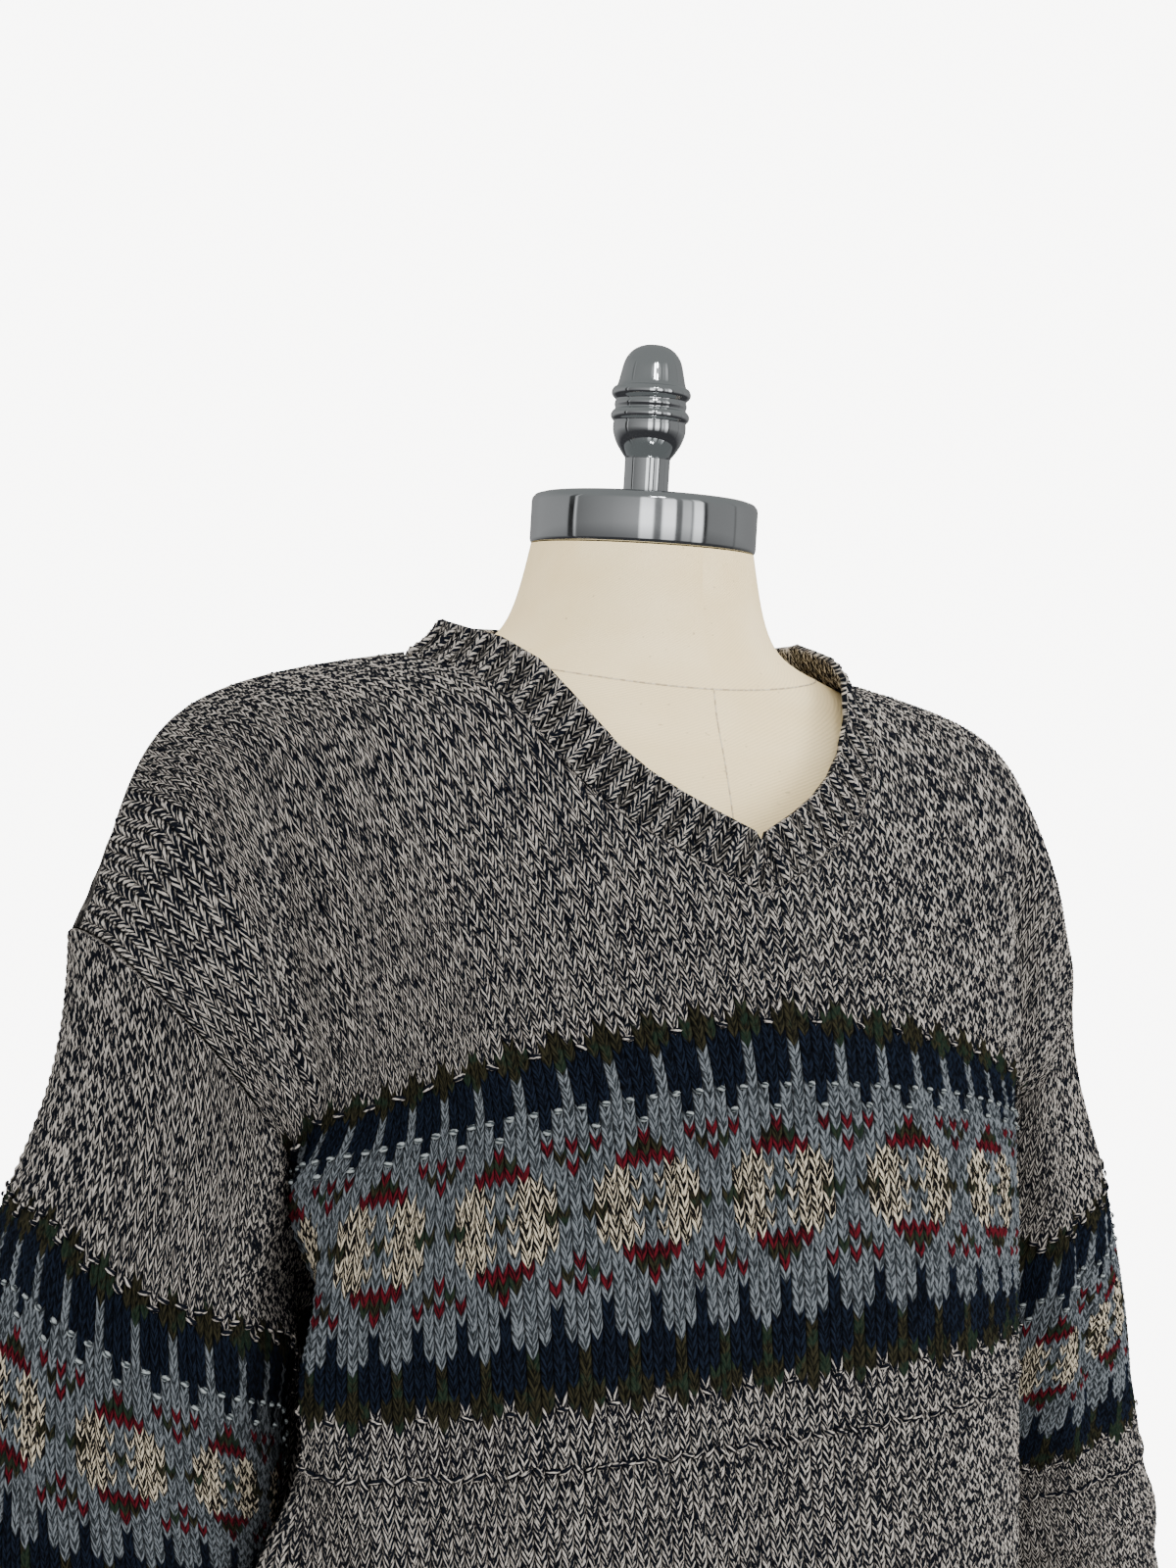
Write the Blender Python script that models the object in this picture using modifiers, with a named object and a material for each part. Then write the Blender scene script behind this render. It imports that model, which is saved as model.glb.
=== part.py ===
"""A drop-shoulder V-neck sweater worn by a dress form on a stand. Metres, +Z up, front towards -Y.

The cloth is laid out flat first: s is the distance across a panel from its centre line, h the height
above the hem. place() carries a flat point to its place in the worn garment. Every wall is built on
that middle surface, half the wall each way, so that the pieces meet edge to edge as they were sewn.
"""
import bpy
import bmesh
import numpy as np

# Sizes of the cloth
WALL = 0.003
SEAM = 0.0003
PANEL_HALF = 0.32
UNDERARM_H = 0.40
SHOULDER_CENTRE_H = 0.774
SHOULDER_END_H = 0.69
HEM_RIB_H = 0.065
NECK_HALF = 0.126
V_TIP_H = 0.579
BACK_NECK_H = 0.692
SQUARE = 2.8
SLEEVE_ROOM = 0.014
UNDERARM_DROP = 0.036
SLEEVE_LENGTH = 0.44
CUFF_LENGTH = 0.072
NECKBAND_WIDTH = 0.026
HEM_RIBS = 99
CUFF_RIBS = 24
NECK_RIBS = 59
RIB_HEIGHT = 0.0012

# Sizes of the stand
CAP_TOP_Z = 1.55
CAP_BOTTOM_Z = 1.5235
TORSO_BOTTOM_Z = 0.735
POLE_RADIUS = 0.016

# Sleeve sections: height, middle across, half across, half deep
SLEEVE_SWING = 0.020
SLEEVE_SECTIONS = (
    (1.30, 0.230, 0.058, 0.088),
    (1.24, 0.237, 0.064, 0.088),
    (1.15, 0.252, 0.074, 0.085),
    (1.05, 0.267, 0.082, 0.081),
    (0.95, 0.288, 0.078, 0.074),
    (0.905, 0.298, 0.066, 0.064),
    (0.885, 0.302, 0.050, 0.050),
    (0.872, 0.304, 0.041, 0.041),
    (0.795, 0.312, 0.039, 0.039),
)

# Level rows of the body below the armholes: cloth height, height, half across, front, back
BODY_ROWS = (
    (0.000, 0.790, 0.226, 0.138, 0.122),
    (0.060, 0.848, 0.236, 0.147, 0.130),
    (0.090, 0.877, 0.242, 0.152, 0.134),
    (0.170, 0.956, 0.244, 0.153, 0.132),
    (0.260, 1.046, 0.238, 0.151, 0.129),
    (0.337, 1.123, 0.232, 0.149, 0.128),
    (0.400, 1.186, 0.228, 0.147, 0.127),
)

# Rows above the armholes. Heights on the cloth at the centre and at the armhole edge, then the middle
# (y, z), a point on the chest (x, y, z), the fold beside the arm (x, y, z) and the armhole edge (x, y, z).
FRONT_ROWS = (
    (0.460, 0.460, (-0.143, 1.247), (0.120, -0.130, 1.238), (0.203, -0.090, 1.216), (0.181, -0.030, 1.199)),
    (0.527, 0.530, (-0.138, 1.309), (0.120, -0.120, 1.292), (0.199, -0.096, 1.262), (0.221, -0.080, 1.246)),
    (0.580, 0.580, (-0.131, 1.358), (0.122, -0.108, 1.342), (0.214, -0.083, 1.313), (0.247, -0.072, 1.281)),
    (0.630, 0.625, (-0.115, 1.403), (0.122, -0.091, 1.393), (0.225, -0.068, 1.368), (0.272, -0.046, 1.310)),
    (0.690, 0.655, (-0.084, 1.456), (0.120, -0.052, 1.4450), (0.229, -0.032, 1.416), (0.281, -0.018, 1.322)),
    (0.774, 0.690, (0.008, 1.480), (0.112, 0.010, 1.4645), (0.241, 0.012, 1.427), (0.284, 0.012, 1.325)),
)
BACK_ROWS = (
    (0.460, 0.460, (0.127, 1.247), (0.120, 0.118, 1.240), (0.203, 0.090, 1.218), (0.181, 0.030, 1.199)),
    (0.527, 0.530, (0.128, 1.312), (0.120, 0.118, 1.300), (0.199, 0.096, 1.264), (0.221, 0.082, 1.246)),
    (0.580, 0.580, (0.122, 1.365), (0.122, 0.112, 1.352), (0.212, 0.088, 1.317), (0.245, 0.078, 1.281)),
    (0.630, 0.625, (0.108, 1.413), (0.122, 0.096, 1.398), (0.225, 0.074, 1.370), (0.272, 0.058, 1.310)),
    (0.690, 0.655, (0.088, 1.454), (0.120, 0.068, 1.4420), (0.229, 0.048, 1.416), (0.281, 0.036, 1.322)),
    (0.774, 0.690, (0.008, 1.480), (0.112, 0.010, 1.4645), (0.241, 0.012, 1.427), (0.284, 0.012, 1.325)),
)

# Creases between body and arm: height, distance across, how deep the valley is
CREASE = ((1.415, 0.218, 0.0), (1.38, 0.215, 0.010), (1.34, 0.210, 0.014), (1.29, 0.204, 0.013),
          (1.24, 0.200, 0.007), (1.19, 0.200, 0.0))
CREASE_WIDTH = 0.013

# Sections of the torso: height, half across, front, back, middle of the depth, squareness
TORSO_SECTIONS = (
    (0.735, 0.164, 0.106, 0.098, 0.000, 2.2),
    (0.760, 0.170, 0.111, 0.104, 0.000, 2.2),
    (0.850, 0.170, 0.114, 0.107, 0.000, 2.2),
    (0.960, 0.143, 0.100, 0.092, 0.000, 2.2),
    (1.040, 0.128, 0.092, 0.082, 0.000, 2.2),
    (1.120, 0.140, 0.104, 0.090, 0.000, 2.2),
    (1.200, 0.152, 0.126, 0.104, 0.000, 2.2),
    (1.280, 0.160, 0.120, 0.110, 0.000, 2.2),
    (1.340, 0.172, 0.114, 0.106, 0.000, 2.2),
    (1.380, 0.184, 0.105, 0.094, 0.002, 2.1),
    (1.410, 0.192, 0.094, 0.080, 0.004, 1.85),
    (1.430, 0.193, 0.085, 0.066, 0.006, 1.65),
    (1.4405, 0.1715, 0.080, 0.062, 0.006, 1.55),
    (1.4530, 0.1388, 0.0770, 0.062, 0.008, 1.6),
    (1.4600, 0.1155, 0.0740, 0.062, 0.007, 1.7),
    (1.4680, 0.084, 0.070, 0.062, 0.003, 2.0),
    (1.4780, 0.0725, 0.0655, 0.060, 0.001, 2.0),
    (1.4950, 0.0650, 0.0615, 0.0590, 0.000, 2.0),
    (1.5230, 0.0585, 0.0585, 0.0585, 0.000, 2.0),
)

# Turned profiles: radius, height above the piece's foot
FINIAL_PROFILE = (
    (0.0000, 0.0795), (0.0060, 0.0785), (0.0110, 0.0755), (0.0155, 0.0695), (0.0187, 0.0610),
    (0.0204, 0.0545), (0.0205, 0.0510), (0.0193, 0.0475), (0.0191, 0.0450), (0.0202, 0.0425),
    (0.0199, 0.0390), (0.0178, 0.0310), (0.0145, 0.0245), (0.0122, 0.0210), (0.0112, 0.0195),
    (0.0112, 0.0040), (0.0125, 0.0015), (0.0135, 0.0000), (0.0000, 0.0000),
)
CAP_PROFILE = (
    (0.0000, 0.0265), (0.0450, 0.0262), (0.0550, 0.0250), (0.0582, 0.0225), (0.0590, 0.0190),
    (0.0590, 0.0030), (0.0583, 0.0000), (0.0000, 0.0000),
)
COLLAR_PROFILE = (
    (0.0000, 0.0340), (0.0480, 0.0340), (0.0500, 0.0320), (0.0500, 0.0270), (0.0300, 0.0210),
    (0.0230, 0.0100), (0.0230, 0.0000), (0.0000, 0.0000),
)
BASE_PROFILE = (
    (0.0000, 0.0300), (0.0240, 0.0300), (0.0290, 0.0270), (0.0330, 0.0200), (0.0500, 0.0165),
    (0.1600, 0.0120), (0.1720, 0.0095), (0.1750, 0.0060), (0.1750, 0.0015), (0.1735, 0.0000),
    (0.0000, 0.0000),
)


def smooth(x):
    x = np.clip(x, 0.0, 1.0)
    return x * x * (3.0 - 2.0 * x)


def column(table, k):
    return np.array([row[k] for row in table], float)


def by_height(table, z, k):
    """A value of a table whose first column is a height."""
    zs = column(table, 0)
    order = np.argsort(zs)
    return np.interp(z, zs[order], column(table, k)[order])


def through(points, count=121):
    """A smooth curve through a few points, as a dense line of even steps."""
    p = np.array(points, float)
    p = np.vstack([p[:1] * (-1.0, 1.0, 1.0), p, 2.0 * p[-1:] - p[-2:-1]])
    if abs(p[1, 0]) < 1e-9:
        p[0] = p[2] * (-1.0, 1.0, 1.0)
    line = []
    for i in range(1, len(p) - 2):
        t = np.linspace(0.0, 1.0, 24, endpoint=False)[:, None]
        a, b, c, d = p[i - 1], p[i], p[i + 1], p[i + 2]
        bend = (2 * a - 5 * b + 4 * c - d) * t ** 2 + (3 * b - a - 3 * c + d) * t ** 3
        line.append(0.5 * (2 * b + (c - a) * t + bend))
    line = np.vstack(line + [p[-2:-1]])
    far = np.concatenate([[0.0], np.cumsum(np.linalg.norm(np.diff(line, axis=0), axis=1))])
    even = np.linspace(0.0, far[-1], count)
    return np.stack([np.interp(even, far, line[:, k]) for k in range(3)], 1), far[-1]


def sleeve_middle(z, side):
    """Where the middle of a sleeve hangs; the wearer's left swings out a little further."""
    return by_height(SLEEVE_SECTIONS, z, 1) + SLEEVE_SWING * smooth((1.16 - z) / 0.24) * (side > 0)


def level_row(row, back):
    """Half a level section of the body, from the centre to the side seam, dented by the hanging sleeve."""
    h, z, half, front, rear = row
    deep = rear if back else front
    t = np.linspace(0.0, np.pi / 2, 361)
    x = half * np.sin(t) ** (2 / SQUARE)
    y = deep * np.cos(t) ** (2 / SQUARE)
    middle, across, depth = (by_height(SLEEVE_SECTIONS, z, k) for k in (1, 2, 3))
    across, depth = across + SLEEVE_ROOM, depth + SLEEVE_ROOM
    limit = middle - across * np.sqrt(np.clip(1.0 - (y / depth) ** 2, 0.0, 1.0))
    limit = np.where(y < depth, limit, middle + (y - depth) * 3.0)
    soft = 0.010
    x = -soft * np.logaddexp(-x / soft, -limit / soft)
    x = x - x[0] * (1.0 - np.linspace(0.0, 1.0, len(x)))
    points = np.stack([x, y if back else -y, np.full_like(x, z)], 1)
    far = np.concatenate([[0.0], np.cumsum(np.linalg.norm(np.diff(points, axis=0), axis=1))])
    even = np.linspace(0.0, far[-1], 121)
    return np.stack([np.interp(even, far, points[:, k]) for k in range(3)], 1), far[-1]


def panel_rows(back):
    """Every row of a half panel: its cloth heights, its even line and its length."""
    rows = []
    for row in BODY_ROWS:
        line, far = level_row(row, back)
        drop = UNDERARM_DROP * smooth((row[0] - 0.30) / 0.10) * smooth(np.linspace(-0.2, 1.0, 121))
        line = line - np.stack([0 * drop, 0 * drop, drop], 1)
        rows.append((row[0], row[0], line, far))
    for centre, edge, middle, chest, fold, end in (BACK_ROWS if back else FRONT_ROWS):
        line, far = through([(0.0,) + middle, chest, fold, end])
        rows.append((centre, edge, line, far))
    return rows


ROWS = {False: panel_rows(False), True: panel_rows(True)}


def place(s, h, back):
    """The worn place of flat points (s, h) on the front or the back panel's middle surface."""
    s, h = np.broadcast_arrays(np.asarray(s, float), np.asarray(h, float))
    side = np.where(s < 0, -1.0, 1.0)
    t = np.clip(np.abs(s) / PANEL_HALF, 0.0, 1.0)
    rows = ROWS[back]
    knots = np.stack([r[0] + (r[1] - r[0]) * t for r in rows])
    spots = []
    for r in rows:
        # true width at the centre; what is left over is eased in towards the side
        ratio = r[3] / PANEL_HALF
        u = t * (1.0 + (ratio - 1.0) * t * t) / ratio
        k = np.clip(u, 0.0, 1.0) * 120.0
        i = np.minimum(k.astype(int), 119)
        f = (k - i)[..., None]
        spots.append(r[2][i] * (1.0 - f) + r[2][i + 1] * f)
    spots = np.stack(spots)
    n = len(rows)
    slope = np.zeros_like(spots)
    for k in range(n):
        a, b = max(0, k - 1), min(n - 1, k + 1)
        slope[k] = (spots[b] - spots[a]) / (knots[b] - knots[a])[..., None]
    # the cloth parts at the underarm, so near the side seam the two slopes there differ
    up_from, up_to = slope.copy(), slope.copy()
    k = len(BODY_ROWS) - 1
    parted = smooth((t - 0.70) / 0.25)[..., None]
    before = (spots[k] - spots[k - 1]) / (knots[k] - knots[k - 1])[..., None]
    after = (spots[k + 1] - spots[k]) / (knots[k + 1] - knots[k])[..., None]
    up_to[k] = slope[k] * (1 - parted) + before * parted
    up_from[k] = slope[k] * (1 - parted) + after * parted
    below = np.zeros(t.shape, int)
    for k in range(1, n - 1):
        below = np.where(h >= knots[k], k, below)

    def pick(values, row):
        index = row[None, ...] if values.ndim == t.ndim + 1 else row[None, ..., None]
        return np.take_along_axis(values, index, 0)[0]

    above = below + 1
    h0, h1 = pick(knots, below), pick(knots, above)
    gap = (h1 - h0)[..., None]
    q = np.clip((h - h0) / (h1 - h0), -0.4, 1.4)[..., None]
    p = pick(spots, below) * (2 * q ** 3 - 3 * q ** 2 + 1) + pick(up_from, below) * gap * (q ** 3 - 2 * q ** 2 + q)
    p = p + pick(spots, above) * (3 * q ** 2 - 2 * q ** 3) + pick(up_to, above) * gap * (q ** 3 - q ** 2)
    off = (p[..., 0] - by_height(CREASE, p[..., 2], 1)) / CREASE_WIDTH
    dent = by_height(CREASE, p[..., 2], 2) * np.exp(-off ** 2)
    p[..., 1] += dent * (-0.4 if back else 1.0)
    p[..., 0] *= side
    return p


def facing(s, h, back):
    """The outward direction of the panel's surface."""
    d = 0.002
    across = place(s + d, h, back) - place(s - d, h, back)
    up = place(s, h + d, back) - place(s, h - d, back)
    n = np.cross(across, up)
    if back:
        n = -n
    return n / np.linalg.norm(n, axis=-1, keepdims=True)


def bezier(points, q):
    a, b, c, d = (np.array(p, float) for p in points)
    q = np.asarray(q, float)[..., None]
    return a * (1 - q) ** 3 + 3 * b * q * (1 - q) ** 2 + 3 * c * q * q * (1 - q) + d * q ** 3


def shoulder_h(s):
    return SHOULDER_CENTRE_H + (SHOULDER_END_H - SHOULDER_CENTRE_H) * abs(s) / PANEL_HALF


NECK_POINT = (NECK_HALF, shoulder_h(NECK_HALF))
FRONT_NECK = ((0.0, V_TIP_H), (0.060, 0.610), (0.125, 0.647), NECK_POINT)
BACK_NECK = ((0.0, BACK_NECK_H), (0.080, BACK_NECK_H), (0.119, 0.702), NECK_POINT)
NECK_SHARE = 0.42
NECK_STEPS = 10
SHOULDER_STEPS = 8
LOOP_STEPS = 12


def build_object(name, verts, faces, material, folder):
    mesh = bpy.data.meshes.new(name)
    mesh.from_pydata([tuple(v) for v in verts], [], faces)
    mesh.materials.append(material)
    mesh.update()
    work = bmesh.new()
    work.from_mesh(mesh)
    bmesh.ops.recalc_face_normals(work, faces=work.faces)
    if work.calc_volume(signed=True) < 0:
        bmesh.ops.reverse_faces(work, faces=work.faces)
    work.to_mesh(mesh)
    work.free()
    thing = bpy.data.objects.new(name, mesh)
    folder.objects.link(thing)
    return thing


def wall(name, middle, normal, material, folder, closed=False, raised=None):
    """A closed wall of cloth on a grid of middle points, half the wall each way along the normals."""
    middle, normal = np.array(middle), np.array(normal)
    rows, cols = middle.shape[:2]
    out = np.full((rows, cols), WALL / 2)
    if raised is not None:
        out = out + raised
    outer = middle + normal * out[..., None]
    inner = middle - normal * (WALL / 2)
    verts = np.vstack([outer.reshape(-1, 3), inner.reshape(-1, 3)])
    base = rows * cols
    faces = []
    at = lambda i, j: i * cols + j % cols
    last = cols if closed else cols - 1
    for i in range(rows - 1):
        for j in range(last):
            a, b, c, d = at(i, j), at(i, j + 1), at(i + 1, j + 1), at(i + 1, j)
            faces.append((a, b, c, d))
            faces.append((base + a, base + d, base + c, base + b))
    for j in range(last):
        a, b = at(0, j), at(0, j + 1)
        faces.append((a, base + a, base + b, b))
        a, b = at(rows - 1, j), at(rows - 1, j + 1)
        faces.append((a, b, base + b, base + a))
    if not closed:
        for i in range(rows - 1):
            a, b = at(i, 0), at(i + 1, 0)
            faces.append((a, b, base + b, base + a))
            a, b = at(i, cols - 1), at(i + 1, cols - 1)
            faces.append((a, base + a, base + b, b))
    return build_object(name, verts, faces, material, folder)


def panel(name, back, material, folder):
    """A front or back panel: level rows to the armhole, then rows that follow the neckline and shoulder."""
    neck = BACK_NECK if back else FRONT_NECK
    half = PANEL_HALF - SEAM / 2
    low = HEM_RIB_H + SEAM / 2
    shares = np.concatenate([np.linspace(0.0, NECK_SHARE, NECK_STEPS + 1),
                             np.linspace(NECK_SHARE, 1.0, SHOULDER_STEPS + 1)[1:]])
    lower = np.linspace(low, UNDERARM_H, 7)
    upper = np.linspace(0.0, 1.0, LOOP_STEPS + 1)[1:]
    s_grid, h_grid = [], []
    for h in lower:
        s_grid.append(half * shares)
        h_grid.append(np.full(len(shares), h))
    top = []
    for a in shares:
        if a <= NECK_SHARE:
            s, h = bezier(neck, a / NECK_SHARE)
        else:
            s = NECK_HALF + (half - NECK_HALF) * (a - NECK_SHARE) / (1.0 - NECK_SHARE)
            h = shoulder_h(s)
        top.append((s, h - SEAM / 2))
    top = np.array(top)
    for w in upper:
        s_grid.append(half * shares * (1 - w) + top[:, 0] * w)
        h_grid.append(UNDERARM_H * (1 - w) + top[:, 1] * w)
    s_grid, h_grid = np.array(s_grid), np.array(h_grid)
    s_full = np.hstack([-s_grid[:, :0:-1], s_grid])
    h_full = np.hstack([h_grid[:, :0:-1], h_grid])
    middle = place(s_full, h_full, back)
    normal = facing(s_full, h_full, back)
    # the side and shoulder seams share their normals with the panel on the other side
    other = facing(s_full, h_full, not back)
    for i in range(len(s_full)):
        for j in (0, s_full.shape[1] - 1):
            if h_full[i, j] <= UNDERARM_H + 1e-6:
                normal[i, j] += other[i, j]
    for j in range(s_full.shape[1]):
        if abs(s_full[-1, j]) >= NECK_HALF - 1e-3:
            normal[-1, j] += other[-1, j]
    normal /= np.linalg.norm(normal, axis=-1, keepdims=True)
    return wall(name, middle, normal, material, folder)


def beside(point, leave, normal, go):
    """Where a second wall starts beside the edge of a first: clear of it by the seam, however they fold."""
    go = go / np.linalg.norm(go, axis=-1, keepdims=True)
    cosine = np.clip((leave * go).sum(-1), -1, 1)[..., None]
    toward = (normal * go).sum(-1)[..., None]
    sine = np.sqrt(np.clip(1 - cosine ** 2, 0, 1))
    sign = np.where(toward < 0, -1.0, 1.0)
    return (point + leave * (SEAM * (1 + cosine) / 2 + (WALL / 2 + SEAM) * sine)
            + normal * sign * (WALL + SEAM) / 2 * (1 - cosine))


def sleeve_surface(share, length, side):
    """Middle surface of a sleeve. share runs from the shoulder, by the front, round to the shoulder again."""
    share, length = np.broadcast_arrays(np.asarray(share, float), np.asarray(length, float))
    front = share <= 0.5
    f = np.where(front, share * 2, (1 - share) * 2)
    h = SHOULDER_END_H + (UNDERARM_H - SHOULDER_END_H) * f
    edge_s = np.full_like(h, PANEL_HALF)
    loop = np.where(front[..., None], place(edge_s, h, False), place(edge_s, h, True))
    cuff_z = 0.872 + 0.006 * np.cos(np.pi * f)
    slack = (loop[..., 2] - SLEEVE_LENGTH) - cuff_z
    z = loop[..., 2] - length - slack * smooth((length - 0.10) / (SLEEVE_LENGTH - 0.10))
    angle = 2 * np.pi * share
    x = sleeve_middle(z, side) + by_height(SLEEVE_SECTIONS, z, 2) * np.cos(angle)
    y = -by_height(SLEEVE_SECTIONS, z, 3) * np.sin(angle)
    ease = 0.15 + (0.030 - 0.15) * smooth(f)
    w = smooth(length / ease)
    v = smooth(length / 0.15)
    p = np.stack([loop[..., 0] * (1 - w) + x * w, loop[..., 1] * (1 - v) + y * v, z], -1)
    p[..., 0] *= side
    return p


def sleeve_facing(share, length, side):
    d = 0.003
    before, after = (share - d) % 1.0, (share + d) % 1.0
    round_way = sleeve_surface(after, length, side) - sleeve_surface(before, length, side)
    down = sleeve_surface(share, length + d, side) - sleeve_surface(share, np.maximum(length - d, 0.0), side)
    n = np.cross(down, round_way) * side
    here = sleeve_surface(share, length, side)
    middle = np.stack([side * sleeve_middle(here[..., 2], side), 0 * share, 0 * share], -1)
    out = here - middle
    flip = np.where((n[..., :2] * out[..., :2]).sum(-1) < 0, -1.0, 1.0)[..., None]
    n = n * flip
    return n / np.linalg.norm(n, axis=-1, keepdims=True)


def sleeve(name, side, material, folder):
    around = LOOP_STEPS * 2
    share = np.arange(around) / around
    lengths = np.array([0.0, 0.014, 0.032, 0.06, 0.10, 0.15, 0.20, 0.25, 0.30, 0.35, 0.395, 0.423,
                        SLEEVE_LENGTH - SEAM / 2])
    share_grid, length_grid = np.meshgrid(share, lengths)
    middle = sleeve_surface(share_grid, length_grid, side)
    normal = sleeve_facing(share_grid, length_grid, side)
    # the first ring stands beside the armhole edge of the two panels
    front = share <= 0.5
    f = np.where(front, share * 2, (1 - share) * 2)
    h = SHOULDER_END_H + (UNDERARM_H - SHOULDER_END_H) * f
    s = np.full(around, side * PANEL_HALF)
    edge_normal = np.where(front[:, None], facing(s, h, False), facing(s, h, True))
    both = (f < 0.02) | (f > 0.98)
    edge_normal[both] = facing(s, h, False)[both] + facing(s, h, True)[both]
    edge_normal /= np.linalg.norm(edge_normal, axis=-1, keepdims=True)
    point = middle[0].copy()
    along = np.roll(point, -1, 0) - np.roll(point, 1, 0)
    leave = np.cross(along, edge_normal)
    leave /= np.linalg.norm(leave, axis=-1, keepdims=True)
    inside = place(s - side * 0.01, h, False)
    inside[~front] = place(s - side * 0.01, h, True)[~front]
    leave *= np.where(((point - inside) * leave).sum(-1) < 0, -1.0, 1.0)[:, None]
    # at the underarm the panels end straight up
    under = f > 0.98
    leave[under] = np.array([0.0, 0.0, 1.0]) - edge_normal[under] * edge_normal[under][:, 2:]
    leave /= np.linalg.norm(leave, axis=-1, keepdims=True)
    go = middle[1] - middle[0]
    middle[0] = beside(point, leave, edge_normal, go)
    angle = 2 * np.pi * share
    normal[-1] = np.stack([side * np.cos(angle), -np.sin(angle), 0 * angle], 1)
    return wall(name, middle, normal, material, folder, closed=True)


def cuff(name, side, material, folder):
    around = CUFF_RIBS * 2
    share = np.arange(around) / around
    start = sleeve_surface(share, np.full(around, SLEEVE_LENGTH), side)
    rows, normals = [], []
    for w in (0.0, 1.0):
        z = start[:, 2] - SEAM / 2 - CUFF_LENGTH * w
        angle = 2 * np.pi * share
        x = sleeve_middle(z, side) + by_height(SLEEVE_SECTIONS, z, 2) * np.cos(angle)
        y = -by_height(SLEEVE_SECTIONS, z, 3) * np.sin(angle)
        rows.append(np.stack([side * x, y, z], 1))
        normals.append(np.stack([side * np.cos(angle), -np.sin(angle), 0 * angle], 1))
    raised = np.tile(np.where(np.arange(around) % 2 == 0, RIB_HEIGHT, 0.0), (2, 1))
    return wall(name, rows, normals, material, folder, closed=True, raised=raised)


def hem_rib(name, material, folder):
    """The ribbed hem: one ring round the front and the back."""
    quarter = HEM_RIBS * 2 // 4
    share = (np.arange(quarter * 2) + 0.5) / quarter - 1.0
    s = np.concatenate([share * PANEL_HALF, -share * PANEL_HALF])
    is_back = np.concatenate([np.zeros(len(share), bool), np.ones(len(share), bool)])
    rows, normals = [], []
    for h in (0.0, HEM_RIB_H - SEAM / 2):
        level = np.full(len(s), h)
        rows.append(np.where(is_back[:, None], place(s, level, True), place(s, level, False)))
        above = level + 0.003
        normals.append(np.where(is_back[:, None], facing(s, above, True), facing(s, above, False)))
    raised = np.tile(np.where(np.arange(len(s)) % 2 == 0, RIB_HEIGHT, 0.0), (2, 1))
    raised[1] = 0.0
    return wall(name, rows, normals, material, folder, closed=True, raised=raised)


def neck_edge(back):
    """Half a panel's neckline from its middle to the shoulder: places and outward directions."""
    flat = bezier(BACK_NECK if back else FRONT_NECK, np.linspace(0.0, 1.0, NECK_STEPS + 1))
    flat[:, 1] -= SEAM / 2
    spot = place(flat[:, 0], flat[:, 1], back)
    away = facing(flat[:, 0], flat[:, 1], back)
    away[-1] += facing(flat[-1:, 0], flat[-1:, 1], not back)[0]
    away[-1] /= np.linalg.norm(away[-1])
    return np.hstack([spot, away])


def neck_line(count):
    """The neckline, round from the V tip by the left shoulder and the back, with its facing."""
    mirror = np.array([-1.0, 1.0, 1.0, -1.0, 1.0, 1.0])
    front, rear = neck_edge(False), neck_edge(True)
    far_side = [(rear * mirror)[:-1], (front * mirror)[::-1][:-1]]
    line = np.vstack([front[:-1], rear[::-1][:-1]] + far_side + [front[:1]])
    far = np.concatenate([[0.0], np.cumsum(np.linalg.norm(np.diff(line[:, :3], axis=0), axis=1))])
    even = np.linspace(0.0, far[-1], count, endpoint=False)
    both = np.stack([np.interp(even, far, line[:, k]) for k in range(6)], 1)
    away = both[:, 3:] / np.linalg.norm(both[:, 3:], axis=1, keepdims=True)
    return both[:, :3], away


def neckband(name, material, folder):
    """The ribbed band: it leaves the neckline in the cloth's own direction and stands up towards the neck."""
    count = NECK_RIBS * 2
    spot, away = neck_line(count)
    along = np.roll(spot, -1, 0) - np.roll(spot, 1, 0)
    along /= np.linalg.norm(along, axis=1, keepdims=True)
    inward = np.cross(away, along)
    inward /= np.linalg.norm(inward, axis=1, keepdims=True)
    centre = np.array([0.0, 0.0, 1.47])
    inward *= np.where(((centre - spot) * inward).sum(1) < 0, -1.0, 1.0)[:, None]
    rows, normals = [], []
    standing = smooth((spot[:, 2] - 1.37) / 0.09)[:, None]
    up = np.array([0.0, 0.0, 1.0])
    for k in range(3):
        w = k / 2.0
        lift = standing * (0.12 + 0.42 * w)
        go = inward * (1 - lift) + up * lift
        go /= np.linalg.norm(go, axis=1, keepdims=True)
        if k == 0:
            rows.append(beside(spot + inward * SEAM, inward, away, go))
        else:
            rows.append(rows[-1] + go * (NECKBAND_WIDTH / 2))
        n = np.cross(along, go)
        n *= np.where((n * away).sum(1) < 0, -1.0, 1.0)[:, None]
        normals.append(n / np.linalg.norm(n, axis=1, keepdims=True))
    rows = np.array(rows)
    # the mitre at the V: no line of the band crosses the middle
    for k in range(1, 3):
        x = rows[k][:, 0]
        near = np.arange(count)
        right = (near > 0) & (near < count // 4)
        left = near > count - count // 4
        x[0] = 0.0
        floor = 0.0012 * np.minimum(near, 6)
        x[right] = np.maximum(x[right], floor[right])
        floor = 0.0012 * np.minimum(count - near, 6)
        x[left] = np.minimum(x[left], -floor[left])
    raised = np.tile(np.where(np.arange(count) % 2 == 0, RIB_HEIGHT, 0.0), (3, 1))
    return wall(name, rows, normals, material, folder, closed=True, raised=raised)


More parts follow.
